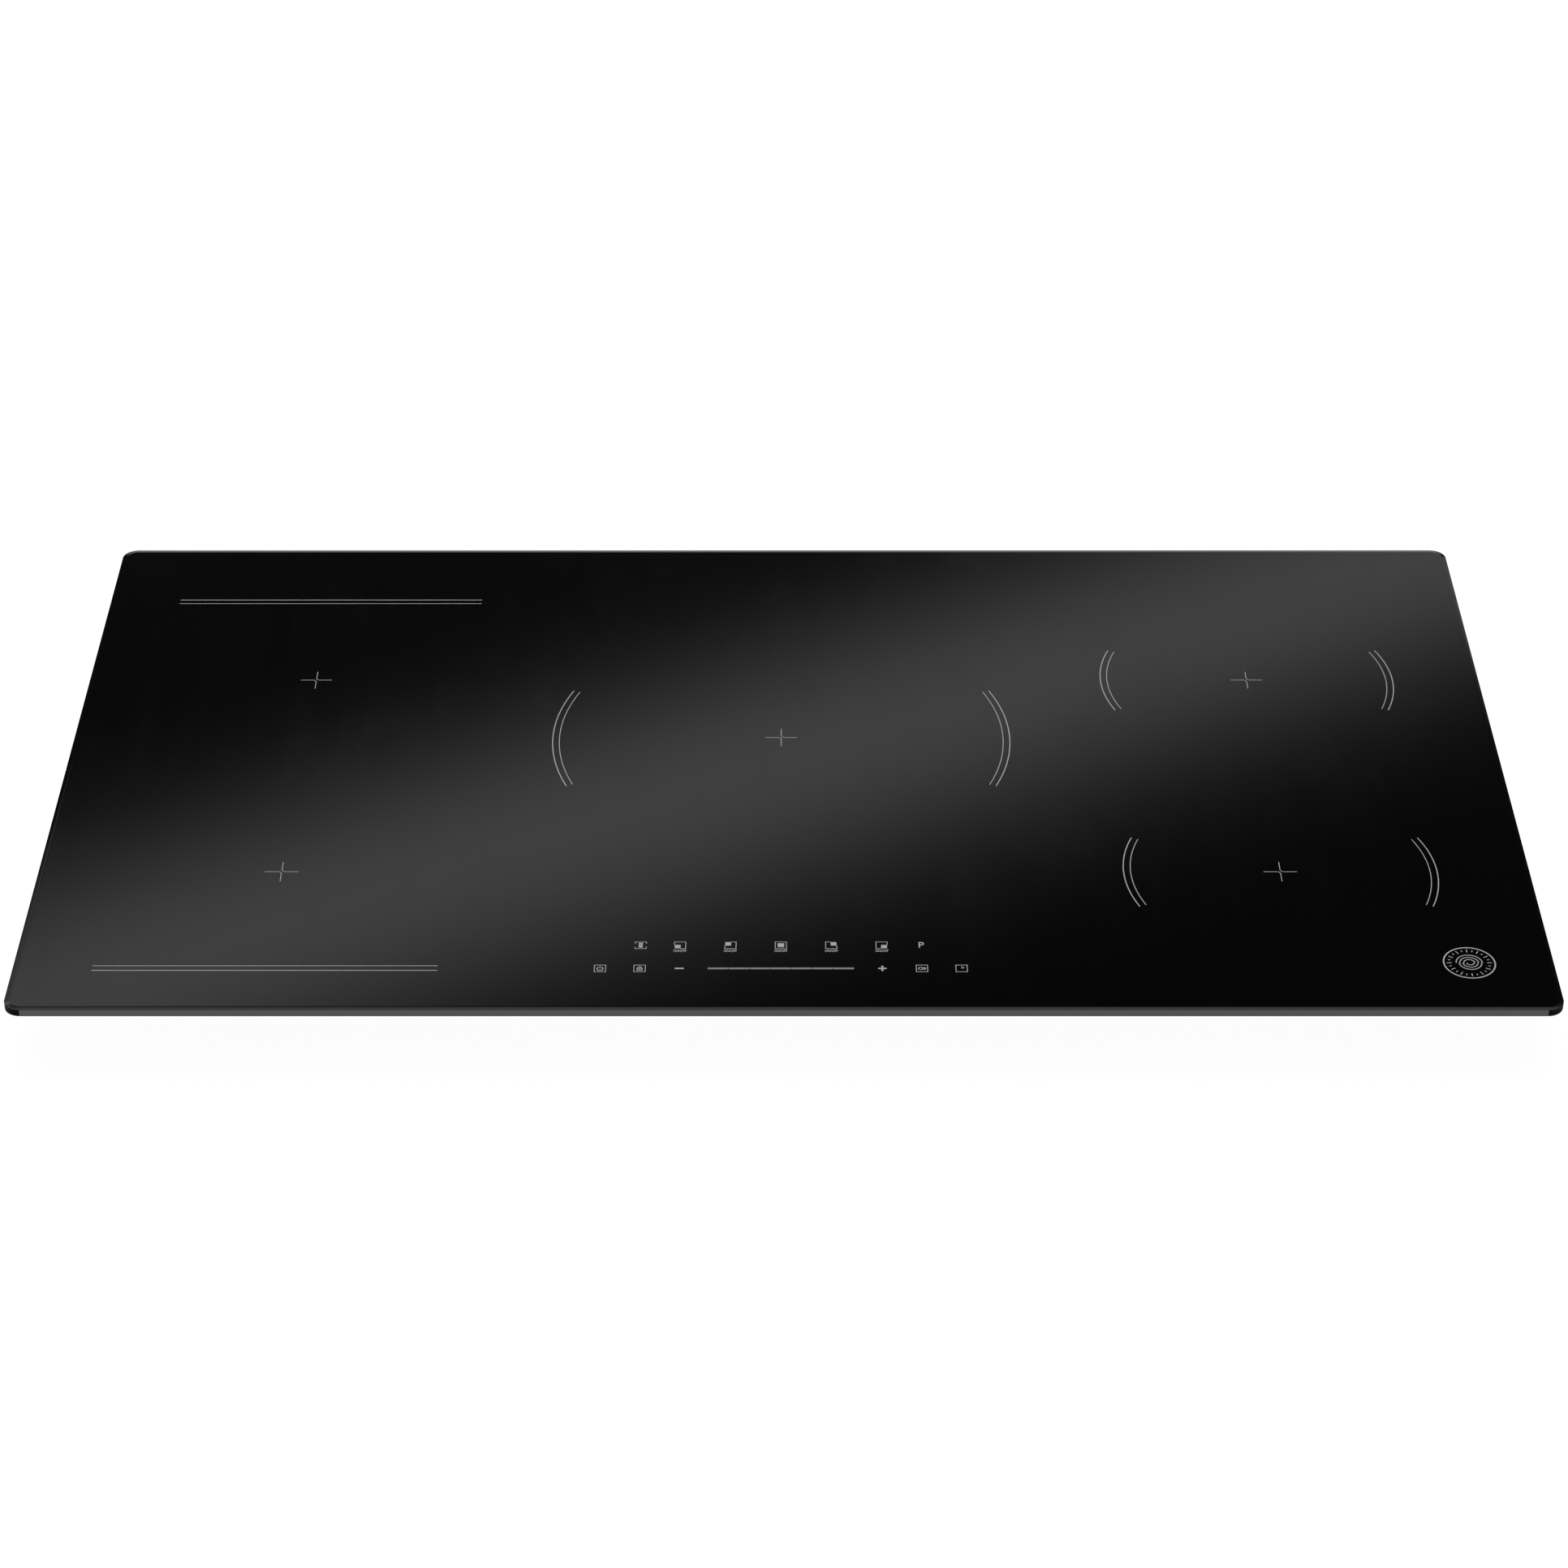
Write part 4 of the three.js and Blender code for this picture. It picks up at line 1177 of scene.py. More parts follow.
@dataclass
class Artwork:
    """The fired prints on the glass.

    Attributes:
        base: height that the prints lie at.
        ink: thickness of the ink.
        middle: shift of the pattern across the plate.
        pitch: distance between the columns of zones.
        rear: depth of the rear zones' middles.
        front: depth of the front zones' middles.
        centre: depth of the middle zone's centre.
        small: outer and inner radius of the right zones' arcs.
        large: outer and inner radius of the middle zone's arcs.
        arc: half the angle of an arc, in degrees.
        outer_line: width of the outer lines.
        inner_line: width of the inner lines.
        cross_reach: length of a cross's arms from its middle.
        cross_gap: distance from a cross's middle at which its lines turn.
        cross_line: width of a cross's lines.
        bridge_left: left end of the bridge zone's lines.
        bridge_right: right end of the bridge zone's lines.
        bridge_outer: distance of its outer lines from its middle.
        bridge_inner: distance of its inner lines from its middle.
        row_one: depth of the rear row of marks.
        row_two: depth of the front row of marks.
        box: width of a key.
        box_line: width of a key's lines.
    """

    base: float = 51.93
    ink: float = 0.055
    middle: float = -1.75
    pitch: float = 300.0
    rear: float = 94.1
    front: float = -121.9
    centre: float = 26.1
    small: Flat = (94.5, 90.0)
    large: Flat = (144.5, 140.0)
    arc: float = 22.5
    outer_line: float = 0.62
    inner_line: float = 0.48
    cross_reach: float = 10.0
    cross_gap: float = 1.4
    cross_line: float = 0.44
    bridge_left: float = -401.8
    bridge_right: float = -201.2
    bridge_outer: float = 208.0
    bridge_inner: float = 203.5
    row_one: float = -197.1
    row_two: float = -220.0
    box: float = 7.0
    box_line: float = 0.42

    def bar(self, low: Flat, high: Flat) -> Piece:
        """Print a rectangle.

        Args:
            low: left front corner.
            high: right rear corner.

        Returns:
            The new shape.
        """
        return block("ink", (*low, self.base), (*high, self.base + self.ink))

    def stroke(self, start: Flat, end: Flat, width: float) -> Piece:
        """Print a straight line of any direction.

        Args:
            start: where it starts.
            end: where it ends.
            width: line width.

        Returns:
            The new shape.
        """
        across = Vector((end[0] - start[0], end[1] - start[1]))
        bpy.ops.object.select_all(action="DESELECT")
        middle = ((start[0] + end[0]) / 2 * MM, (start[1] + end[1]) / 2 * MM, (self.base + self.ink / 2) * MM)
        angle = math.atan2(across.y, across.x)
        bpy.ops.mesh.primitive_cube_add(size=1, location=middle, rotation=(0, 0, angle))
        piece = bpy.context.object
        piece.scale = ((across.length + width * 0.4) * MM, width * MM, self.ink * MM)
        return placed(piece)

    def sweep(self, centre: Flat, radius: float, width: float, start: float, angle: float) -> Piece:
        """Print an arc by spinning the section of its line.

        Args:
            centre: middle of the arc.
            radius: middle radius of its line.
            width: line width.
            start: direction of its first end, in degrees.
            angle: how far it turns, in degrees.

        Returns:
            The new shape.
        """
        bpy.ops.object.select_all(action="DESELECT")
        turn = math.radians(start)
        place = (
            (centre[0] + radius * math.cos(turn)) * MM,
            (centre[1] + radius * math.sin(turn)) * MM,
            (self.base + self.ink / 2) * MM,
        )
        bpy.ops.mesh.primitive_plane_add(size=1, location=place, rotation=(math.pi / 2, 0, turn))
        piece = bpy.context.object
        piece.scale = (width * MM, self.ink * MM, 1)
        placed(piece)
        pick_faces(piece, lambda _, n: True)
        full = abs(angle) > 359.0
        steps = max(8, int(abs(angle) / 3.0))
        bpy.ops.mesh.spin(
            steps=steps,
            angle=-math.radians(angle),
            center=(centre[0] * MM, centre[1] * MM, 0),
            axis=(0, 0, 1),
        )
        leave_edit()
        if full:
            face_outwards(piece)
            pick_faces(piece, lambda p, n: abs(n.z) < 0.5 and abs(
                n.x * (p.x - centre[0]) + n.y * (p.y - centre[1])
            ) < 0.5 * math.hypot(p.x - centre[0], p.y - centre[1]))
            bpy.ops.mesh.delete(type="ONLY_FACE")
            leave_edit()
        return face_outwards(piece)

    def lettering(self, words: str, place: Flat, height: float, squeeze: float) -> Piece:
        """Print plain generic lettering.

        Args:
            words: what it says.
            place: its middle.
            height: height of a capital.
            squeeze: width of the letters relative to normal.

        Returns:
            The new shape.
        """
        bpy.ops.object.select_all(action="DESELECT")
        bpy.ops.object.text_add()
        piece = bpy.context.object
        piece.data.body = words
        piece.data.align_x = "CENTER"
        piece.data.align_y = "CENTER"
        piece.data.size = height * 1.42 * MM
        piece.data.resolution_u = 3
        piece.data.extrude = self.ink / 2 * MM
        piece.data.offset = 0.00003
        settle_selection(piece)
        bpy.ops.object.convert(target="MESH")
        piece = bpy.context.object
        piece.location = (place[0] * MM, place[1] * MM, (self.base + self.ink / 2) * MM)
        piece.scale = (squeeze, 1, 1)
        return placed(piece)

    def frame_box(self, place: Flat) -> list[Piece]:
        """Print the square frame round a symbol.

        Args:
            place: middle of the square.

        Returns:
            The frame's four lines.
        """
        x, y = place
        h, t = self.box / 2, self.box_line
        return [
            self.bar((x - h, y - h), (x + h, y - h + t)),
            self.bar((x - h, y + h - t), (x + h, y + h)),
            self.bar((x - h, y - h + t), (x - h + t, y + h - t)),
            self.bar((x + h - t, y - h + t), (x + h, y + h - t)),
        ]

    def cross(self, x: float, y: float) -> list[Piece]:
        """Print the mark in the middle of a zone, two bent lines that nearly touch.

        Args:
            x: place across.
            y: place in depth.

        Returns:
            The mark's strokes.
        """
        r, g, t = self.cross_reach, self.cross_gap, self.cross_line
        return [
            self.stroke((x - r, y), (x - g, y), t),
            self.stroke((x - g, y), (x - 0.1, y - g), t),
            self.stroke((x, y - g), (x, y - r), t),
            self.stroke((x + r, y), (x + g, y), t),
            self.stroke((x + g, y), (x + 0.1, y + g), t),
            self.stroke((x, y + g), (x, y + r), t),
        ]

    def zone_arcs(self, x: float, y: float, radii: Flat) -> tuple[list[Piece], list[Piece]]:
        """Print the double arcs left and right of a zone.

        Args:
            x: place across.
            y: place in depth.
            radii: outer and inner radius.

        Returns:
            The outer and the inner arcs.
        """
        outer, inner = [], []
        for side in (0.0, 180.0):
            start = side - self.arc
            turn = 2 * self.arc
            outer.append(self.sweep((x, y), radii[0] - self.outer_line / 2, self.outer_line, start, turn))
            inner.append(self.sweep((x, y), radii[1], self.inner_line, start, turn))
        return outer, inner

    def key(self, x: float, filled: tuple[float, float, float, float]) -> list[Piece]:
        """Print the key of one zone.

        Args:
            x: place relative to the pattern's middle.
            filled: left, front, right and rear of the filled square, in millimetres from the key's middle.

        Returns:
            The key's shapes.
        """
        place = (self.middle + x, self.row_one)
        left, near, right, far = filled
        shapes = self.frame_box(place)
        shapes.append(self.bar((place[0] + left, place[1] + near), (place[0] + right, place[1] + far)))
        shapes.append(self.lettering("ON/OFF", (place[0], place[1] - 5.6), 2.4, 0.62))
        return shapes

    def first_row(self) -> list[Piece]:
        """Print the zone keys and the keys beside them.

        Returns:
            The row's shapes.
        """
        h, m = self.box / 2, self.box_line
        reach = 0.35
        shapes: list[Piece] = []
        shapes += self.key(-59.0, (-h, -h, reach, reach))
        shapes += self.key(-29.5, (-h, -reach, reach, h))
        shapes += self.key(0.0, (-1.9, -1.9, 1.9, 1.9))
        shapes += self.key(29.5, (-reach, -reach, h, h))
        shapes += self.key(59.0, (-reach, -h, h, reach))
        x, y = self.middle - 82.0, self.row_one
        for up in (-1, 1):
            low, high = sorted((up * (h - m), up * h))
            shapes.append(self.bar((x - h, y + low), (x + h, y + high)))
            near, far = sorted((up * (h - 1.9), up * (h - m)))
            shapes.append(self.bar((x - h, y + near), (x - h + m, y + far)))
            shapes.append(self.bar((x + h - m, y + near), (x + h, y + far)))
            near, far = sorted((up * 0.25, up * 2.3))
            shapes.append(self.bar((x - 1.2, y + near), (x + 1.2, y + far)))
        shapes.append(self.lettering("P", (self.middle + 82.0, self.row_one), 5.6, 0.9))
        return shapes

    def second_row(self) -> tuple[list[Piece], list[Piece]]:
        """Print power, lock, slider, pause and timer.

        Returns:
            The bright shapes and the dim slider.
        """
        y = self.row_two
        bright: list[Piece] = []
        dim: list[Piece] = []
        x = self.middle - 105.0
        bright += self.frame_box((x, y))
        bright.append(self.sweep((x, y - 0.25), 1.75, 0.6, 125.0, 290.0))
        bright.append(self.bar((x - 0.28, y - 0.1), (x + 0.28, y + 2.1)))
        x = self.middle - 82.0
        bright += self.frame_box((x, y))
        bright.append(self.bar((x - 1.7, y - 2.1), (x + 1.7, y - 1.6)))
        bright.append(self.bar((x - 1.7, y - 1.6), (x - 1.1, y + 0.4)))
        bright.append(self.bar((x + 1.1, y - 1.6), (x + 1.7, y + 0.4)))
        bright.append(self.bar((x - 1.1, y - 0.1), (x + 1.1, y + 0.4)))
        bright.append(self.bar((x - 0.3, y - 1.4), (x + 0.3, y - 0.4)))
        bright.append(self.sweep((x, y + 0.5), 1.15, 0.55, 0.0, 180.0))
        bright.append(self.bar((self.middle - 61.6, y - 0.65), (self.middle - 56.4, y + 0.65)))
        bright.append(self.bar((self.middle + 56.6, y - 0.6), (self.middle + 61.4, y + 0.6)))
        bright.append(self.bar((self.middle + 58.4, y - 2.5), (self.middle + 59.6, y - 0.6)))
        bright.append(self.bar((self.middle + 58.4, y + 0.6), (self.middle + 59.6, y + 2.5)))
        for step in range(7):
            left = self.middle - 42.6 + step * 12.18
            dim.append(self.bar((left + 0.15, y - 0.85), (left + 12.03, y + 0.85)))
        x = self.middle + 82.0
        bright += self.frame_box((x, y))
        bright.append(self.sweep((x - 0.8, y), 1.2, 0.5, 0.0, 360.0))
        bright.append(self.bar((x + 0.9, y - 1.3), (x + 1.35, y + 1.3)))
        bright.append(self.stroke((x + 1.6, y + 1.1), (x + 2.4, y), 0.5))
        bright.append(self.stroke((x + 1.6, y - 1.1), (x + 2.4, y), 0.5))
        x = self.middle + 105.0
        bright += self.frame_box((x, y))
        bright.append(self.bar((x - 0.1, y - 0.2), (x + 0.4, y + 2.0)))
        bright.append(self.stroke((x + 0.2, y - 0.1), (x + 1.5, y + 1.0), 0.5))
        return bright, dim

    def emblem(self, x: float, y: float) -> list[Piece]:
        """Print a plain round dial mark with a coil in it.

        Args:
            x: place across.
            y: place in depth.

        Returns:
            The mark's shapes.
        """
        shapes = [self.sweep((x, y), 14.9, 0.85, 0.0, 360.0)]
        for step in range(24):
            angle = math.radians(step * 15.0)
            reach = (10.4, 13.0) if step % 2 == 0 else (11.2, 12.4)
            ends = [(x + r * math.cos(angle), y + r * math.sin(angle)) for r in reach]
            shapes.append(self.stroke(ends[0], ends[1], 0.55))
        for step in range(6):
            radius = 7.6 - step * 1.1
            middle = (x + (0.55 if step % 2 else 0.0), y)
            shapes.append(self.sweep(middle, radius, 0.6, 180.0 * (step % 2), 180.0))
        return shapes

    def build(self) -> None:
        """Print every mark and dress it."""
        columns = [self.middle - self.pitch, self.middle, self.middle + self.pitch]
        outer, inner = self.zone_arcs(columns[1], self.centre, self.large)
        for y in (self.rear, self.front):
            more_outer, more_inner = self.zone_arcs(columns[2], y, self.small)
            outer += more_outer
            inner += more_inner
        middle_y = (self.rear + self.front) / 2
        for side in (-1, 1):
            for reach, line, store in (
                (self.bridge_outer, self.outer_line, outer),
                (self.bridge_inner, self.inner_line, inner),
            ):
                y = middle_y + side * reach
                store.append(self.bar((self.bridge_left, y - line / 2), (self.bridge_right, y + line / 2)))
        crosses: list[Piece] = []
        for x in (columns[0], columns[2]):
            for y in (self.rear, self.front):
                crosses += self.cross(x, y)
        crosses += self.cross(columns[1], self.centre)
        bright, dim = self.second_row()
        bright += self.first_row()
        handed_over(joined("print_zone_outer_lines", outer), PRINT)
        handed_over(joined("print_zone_inner_lines", inner), PRINT)
        handed_over(joined("print_zone_crosses", crosses), PRINT)
        handed_over(joined("print_touch_keys", bright), PRINT)
        handed_over(joined("print_power_slider", dim), PRINT_DIM)
        handed_over(joined("print_round_mark", self.emblem(398.8, -214.5)), PRINT)


# ---------------------------------------------------------------- frame nodes


@dataclass
class Dressing:
    """Finishes for the nodes of the frame that stay."""

    finishes: dict[str, Finish] = field(
        default_factory=lambda: {
            "glass_top": GLASS, "worktop_seal": FOAM, "glass_frame": GALVANISED, "base_": GALVANISED,
            "coil_carrier": ALUMINIUM, "coil_former": PLASTIC_WHITE, "winding": COPPER, "insulation": FIBRE,
            "sensor": PLASTIC_WHITE, "fan_grille": PLASTIC_BLACK, "module_tray": PLASTIC_BLACK,
            "power_board": BOARD, "heat_sink": EXTRUDED, "fan_housing": PLASTIC_BLACK,
            "fan_rotor": PLASTIC_BLACK, "filter_tray": PLASTIC_BLACK, "filter_board": BOARD,
            "filter_choke": COPPER, "mains_harness": CABLE, "terminal_lid_pin": ZINC,
            "terminal_block": PLASTIC_WHITE, "terminal_": PLASTIC_GREY, "control_tray": PLASTIC_BLACK,
            "control_board": BOARD, "light_guide": PLASTIC_WHITE, "clamp_": ZINC,
        }
    )

    def build(self) -> None:
        """Give every node of the frame its material."""
        for name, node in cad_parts.items():
            finish = next(f for start, f in self.finishes.items() if name.startswith(start))
            node.data.materials.clear()
            node.data.materials.append(finish.material())
            log.info("%s: %s", name, finish.name)


def eased(node: str, finish: Finish, width: float, body: str = "housing", segments: int = 2) -> Piece:
    """Stand a copy of a frame node with broken edges in for the node.

    Args:
        node: name of the frame node.
        finish: what its surface is.
        width: how far the edges are broken, in millimetres.
        body: the body that it moves with.
        segments: strips in each broken edge.

    Returns:
        The new piece.
    """
    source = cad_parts[node]
    piece = bpy.data.objects.new(node + "_eased", source.data.copy())
    bpy.context.scene.collection.objects.link(piece)
    settle_selection(piece)
    bpy.ops.object.mode_set(mode="EDIT")
    bpy.ops.mesh.select_all(action="SELECT")
    bpy.ops.mesh.remove_doubles(threshold=2e-6)
    bpy.ops.mesh.dissolve_limited(angle_limit=math.radians(0.5))
    leave_edit()
    modifier = piece.modifiers.new("break", "BEVEL")
    modifier.width = width * MM
    modifier.segments = segments
    modifier.limit_method = "ANGLE"
    modifier.angle_limit = math.radians(32.0)
    modifier.harden_normals = False
    bpy.ops.object.modifier_apply(modifier=modifier.name)
    return handed_over(piece, finish, body, [node], even=True)


# ---------------------------------------------------------------- sheet metal


def crosshead(name: str, radius: float, height: float) -> Piece:
    """Model a domed screw head with a cross recess, standing on the origin.

    Args:
        name: name of the piece.
        radius: outer radius in millimetres.
        height: height in millimetres.

    Returns:
        The head.
    """
    head = turned(name, (0, 0, height / 2), radius, height, sides=28)
    round_edges(head, height * 0.62, 4, lambda p, _: p.z > height - 0.01)
    arm = radius * 0.52
    cross = [
        block("recess", (-arm, -radius * 0.11, height * 0.35), (arm, radius * 0.11, height + 1)),
        block("recess", (-radius * 0.11, -arm, height * 0.35), (radius * 0.11, arm, height + 1)),
    ]
    for arm_piece in cross:
        cut(head, arm_piece)
    return head


def laid(piece: Piece, name: str, place: Point, facing: Point) -> Piece:
    """Copy a piece that stands on the origin to a place, facing a direction.

    Args:
        piece: the model piece, standing along the upright axis.
        name: name of the copy.
        place: where its foot goes, in millimetres.
        facing: the direction that its top faces.

    Returns:
        The copy.
    """
    copy = piece.copy()
    copy.data = piece.data.copy()
    copy.name = name
    bpy.context.scene.collection.objects.link(copy)
    turn = Vector(facing).to_track_quat("Z", "Y").to_matrix().to_4x4()
    copy.data.transform(Matrix.Translation(Vector(place) * MM) @ turn)
    return copy


@dataclass
class Pan:
    """The folded sheet-metal pan: shallow tray, deep box and their screws.

    Attributes:
        tray: half width, half depth, foot and rim height of the tray.
        box: half width, half depth and height under the flange of the box.
        corner: radius of the upright corners.
        bend: radius of the folded edges.
        sheet: thickness of the sheet.
        flange: width of the box's flange.
        modules: places across of the two power modules.
        slot: width, pitch, lowest and highest point of the air slots.
        inlet: radius and depth of the fan inlets.
    """

    tray: tuple[float, float, float, float] = (425.0, 235.0, 30.0, 47.7)
    box: tuple[float, float, float] = (395.0, 196.0, 28.7)
    corner: float = 12.0
    bend: float = 2.2
    sheet: float = 1.0
    flange: float = 8.0
    modules: Flat = (-250.0, 50.0)
    slot: tuple[float, float, float, float] = (8.0, 18.0, 10.0, 24.0)
    inlet: Flat = (30.0, 112.0)
    wires: tuple[float, float, float] = (315.0, 14.0, 6.0)
    clamp: Flat = (410.0, 130.0)

    def dish(self, name: str, half_x: float, half_y: float, low: float, high: float) -> Piece:
        """Fold an open dish with rounded corners and a soft bend at its foot.

        Args:
            name: name of the piece.
            half_x: half its width.
            half_y: half its depth.
            low: height of its foot.
            high: height of its rim.

        Returns:
            The dish's skin.
        """
        dish = block(name, (-half_x, -half_y, low), (half_x, half_y, high))
        round_edges(dish, self.corner, 10, upright)
        round_edges(dish, self.bend, 4, lambda p, d: p.z < low + 0.01 and abs(d.z) < 0.01)
        pick_faces(dish, lambda _, n: n.z > 0.99)
        bpy.ops.mesh.delete(type="FACE")
        leave_edit()
        return dish

    def make_tray(self) -> Piece:
        """Fold the shallow tray with its open step.

        Returns:
            The tray.
        """
        half_x, half_y, low, high = self.tray
        tray = walled(self.dish("sheet_tray", half_x, half_y, low, high), self.sheet)
        x, y = self.box[0] - self.sheet, self.box[1] - self.sheet
        opening = block("opening", (-x, -y, low - 5), (x, y, low + 6))
        round_edges(opening, self.corner - 1, 8, upright)
        cut(tray, opening)
        for side in (-1, 1):
            for end in (-1, 1):
                hole = turned("hole", (side * self.clamp[0], end * self.clamp[1], low), 2.6, 9, sides=20)
                cut(tray, hole)
        return handed_over(face_outwards(tray), GALVANISED, replaces=["base_tray"], even=True)

    def make_box(self) -> Piece:
        """Fold the deep box with its flange, slots and inlets.

        Returns:
            The box.
        """
        half_x, half_y, high = self.box
        box = self.dish("sheet_box", half_x, half_y, 0.0, high)
        pick_edges(box, lambda p, _: p.z > high - 0.01)
        bpy.ops.mesh.extrude_edges_move(TRANSFORM_OT_translate={"value": (0, 0, 0)})
        wide = ((half_x + self.flange) / half_x, (half_y + self.flange) / half_y, 1)
        bpy.ops.transform.resize(value=wide, center_override=(0, 0, high * MM))
        leave_edit()
        walled(box, self.sheet)
        width, pitch, low, top = self.slot
        cutters = []
        for module in self.modules:
            for index in range(-4, 5):
                x = module + index * pitch
                for side in (-1, 1):
                    y = side * half_y
                    cutters.append(block("slot", (x - width / 2, y - 5, low), (x + width / 2, y + 5, top)))
        slots = joined("slots", cutters)
        round_edges(slots, 2.5, 4, lambda p, d: abs(d.y) > 0.99)
        cut(box, slots)
        for module in self.modules:
            cut(box, turned("inlet", (module, self.inlet[1], 0), self.inlet[0], 8, sides=48))
        x, z, radius = self.wires
        cut(box, turned("grommet_hole", (x, half_y, z), radius, 9, Axis.Y, 24))
        return handed_over(face_outwards(box), GALVANISED, replaces=["base_box"], even=True)

    def make_screws(self) -> None:
        """Screw the tray to the glass frame and the box to the tray."""
        head = crosshead("head", 3.4, 1.9)
        heads: list[Piece] = []
        half_x, half_y = self.tray[:2]
        for x in (-380, -230, -80, 80, 230, 380):
            for side in (-1, 1):
                heads.append(laid(head, "head", (x, side * half_y, 42.0), (0, side, 0)))
        for y in (-190, -65, 65, 190):
            for side in (-1, 1):
                heads.append(laid(head, "head", (side * half_x, y, 42.0), (side, 0, 0)))
        for x in (-360, -180, 0, 180):
            for side in (-1, 1):
                heads.append(laid(head, "head", (x, side * (self.box[1] + 4.2), self.box[2]), (0, 0, -1)))
        for x, y in ((-150, 60), (-150, -150), (150, 60), (150, -150), (-350, -150), (-350, 60)):
            heads.append(laid(head, "head", (x, y, 1.95), (0, 0, -1)))
        bpy.data.objects.remove(head)
        handed_over(joined("pan_screws", heads), ZINC)

    def make_vents(self) -> None:
        """Fold a short hood over each group of air slots, inside the box."""
        _, pitch, _, top = self.slot
        hoods: list[Piece] = []
        for module in self.modules:
            for side in (-1, 1):
                y = side * (self.box[1] - 3.5)
                low_y, high_y = sorted((y - side * 2.2, y + side * 2.2))
                reach = 4.5 * pitch
                hood = block("hood", (module - reach, low_y, top + 1), (module + reach, high_y, top + 3.2))
                round_edges(hood, 0.8, 2, lambda p, d: abs(d.x) > 0.99)
                hoods.append(hood)
        handed_over(joined("vent_hoods", hoods), GALVANISED)

    def build(self) -> None:
        """Fold and dress the pan."""
        self.make_tray()
        self.make_box()
        self.make_screws()
        self.make_vents()


# ---------------------------------------------------------------- clamps


@dataclass
class Clamp:
    """A spring strip with two bends, its rubber shoe and its screw.

    Attributes:
        x: place across of the screw.
        y: place in depth of the screw.
        width: width of the strip.
        low: height of the strip.
        thickness: thickness of the strip.
        reach: length from the screw to the end of the shoe.
        foot: length of the shoe.
        rise: height from the strip to the top of the foot.
    """

    x: float = 410.0
    y: float = 130.0
    width: float = 14.0
    low: float = 9.0
    thickness: float = 2.0
    reach: float = 50.0
    foot: float = 9.0
    rise: float = 7.0

    def strip(self) -> Piece:
        """Bend the strip, with its screw at the origin and its arm to the rear.

        Returns:
            The strip.
        """
        half, low = self.width / 2, self.low
        top = low + self.thickness
        end = self.reach - self.foot
        strip = block("strip", (-half, -half, low), (half, end - 2, top))
        round_edges(strip, half - 0.15, 10, lambda p, d: abs(d.z) > 0.99 and p.y < 0)
        pick_faces(strip, lambda p, n: n.y > 0.99)
        bpy.ops.mesh.extrude_region_move(TRANSFORM_OT_translate={"value": (0, 2 * MM, 0)})
        leave_edit()
        for lift in (self.rise - 2 * self.thickness, self.thickness - 0.3):
            pick_faces(strip, lambda p, n: n.z > 0.99 and p.y > end - 2)
            bpy.ops.mesh.extrude_region_move(TRANSFORM_OT_translate={"value": (0, 0, lift * MM)})
            leave_edit()
        ledge = low + self.rise - self.thickness
        pick_faces(strip, lambda p, n: n.y > 0.99 and p.z > ledge)
        bpy.ops.mesh.extrude_region_move(TRANSFORM_OT_translate={"value": (0, self.foot * MM, 0)})
        leave_edit()
        round_edges(strip, 0.8, 3, lambda p, d: abs(d.x) > 0.99 and p.y > end - 2.5 and p.y < end + 0.5)
        round_edges(strip, 2.5, 4, lambda p, d: abs(d.z) > 0.99 and p.y > self.reach - 0.1)
        cut(strip, turned("hole", (0, 0, low), 2.6, 9, sides=20))
        return strip

    def shoe(self) -> Piece:
        """Mould the ribbed rubber shoe.

        Returns:
            The shoe.
        """
        half = self.width / 2 + 0.5
        top = self.low + self.rise
        shoe = block("shoe", (-half, self.reach - 7, top - 3), (half, self.reach, top))
        round_edges(shoe, 0.7, 3, lambda p, d: True)
        grooves: list[Piece] = []
        for offset in (1.8, 3.5, 5.2):
            y = self.reach - offset
            grooves.append(block("groove", (-half - 1, y - 0.4, top - 0.5), (half + 1, y + 0.4, top + 1)))
        return cut(shoe, joined("grooves", grooves))

    def screw(self) -> Piece:
        """Turn the screw with its thread and a cross recess in its lower side.

        Returns:
            The screw.
        """
        head = crosshead("head", 4.5, 3.2)
        head.data.transform(Matrix.Translation((0, 0, 8.7 * MM)) @ Matrix.Rotation(math.pi, 4, "X"))
        core = turned("core", (0, 0, 21.6), 1.75, 26.0, sides=16)
        bpy.ops.object.select_all(action="DESELECT")
        ridge = turned("ridge", (0, 0, 13.0), 2.2, 0.9, sides=16)
        round_edges(ridge, 0.42, 1, lambda p, d: abs(d.z) < 0.5)
        settle_selection(ridge)
        rows = ridge.modifiers.new("rows", "ARRAY")
        rows.count = 22
        rows.use_relative_offset = False
        rows.use_constant_offset = True
        rows.constant_offset_displace = (0, 0, 0.98 * MM)
        bpy.ops.object.modifier_apply(modifier=rows.name)
        washer = turned("washer", (0, 0, 11.5), 5.6, 0.8, sides=28)
        round_edges(washer, 0.2, 2, lambda p, d: abs(d.z) < 0.5)
        cut(washer, turned("hole", (0, 0, 11.5), 2.35, 4, sides=20))
        return joined("screw", [head, core, ridge, washer])

    def build(self) -> None:
        """Make the four clamps and dress them."""
        strip, shoe, screw = self.strip(), self.shoe(), self.screw()
        for side, across in (("left", -1), ("right", 1)):
            for place, end in (("front", -1), ("rear", 1)):
                name = f"clamp_{place}_{side}"
                spot = (across * self.x, end * self.y, 0.0)
                turn = 0.0 if end < 0 else 180.0
                handed_over(copied(strip, name + "_strip", spot, turn), ZINC, name, [name])
                handed_over(copied(shoe, name + "_shoe", spot, turn), FOAM, name)
                screw_name = f"clamp_screw_{place}_{side}"
                handed_over(copied(screw, screw_name + "_turned", spot, turn), ZINC, name, [screw_name])
        for piece in (strip, shoe, screw):
            bpy.data.objects.remove(piece)


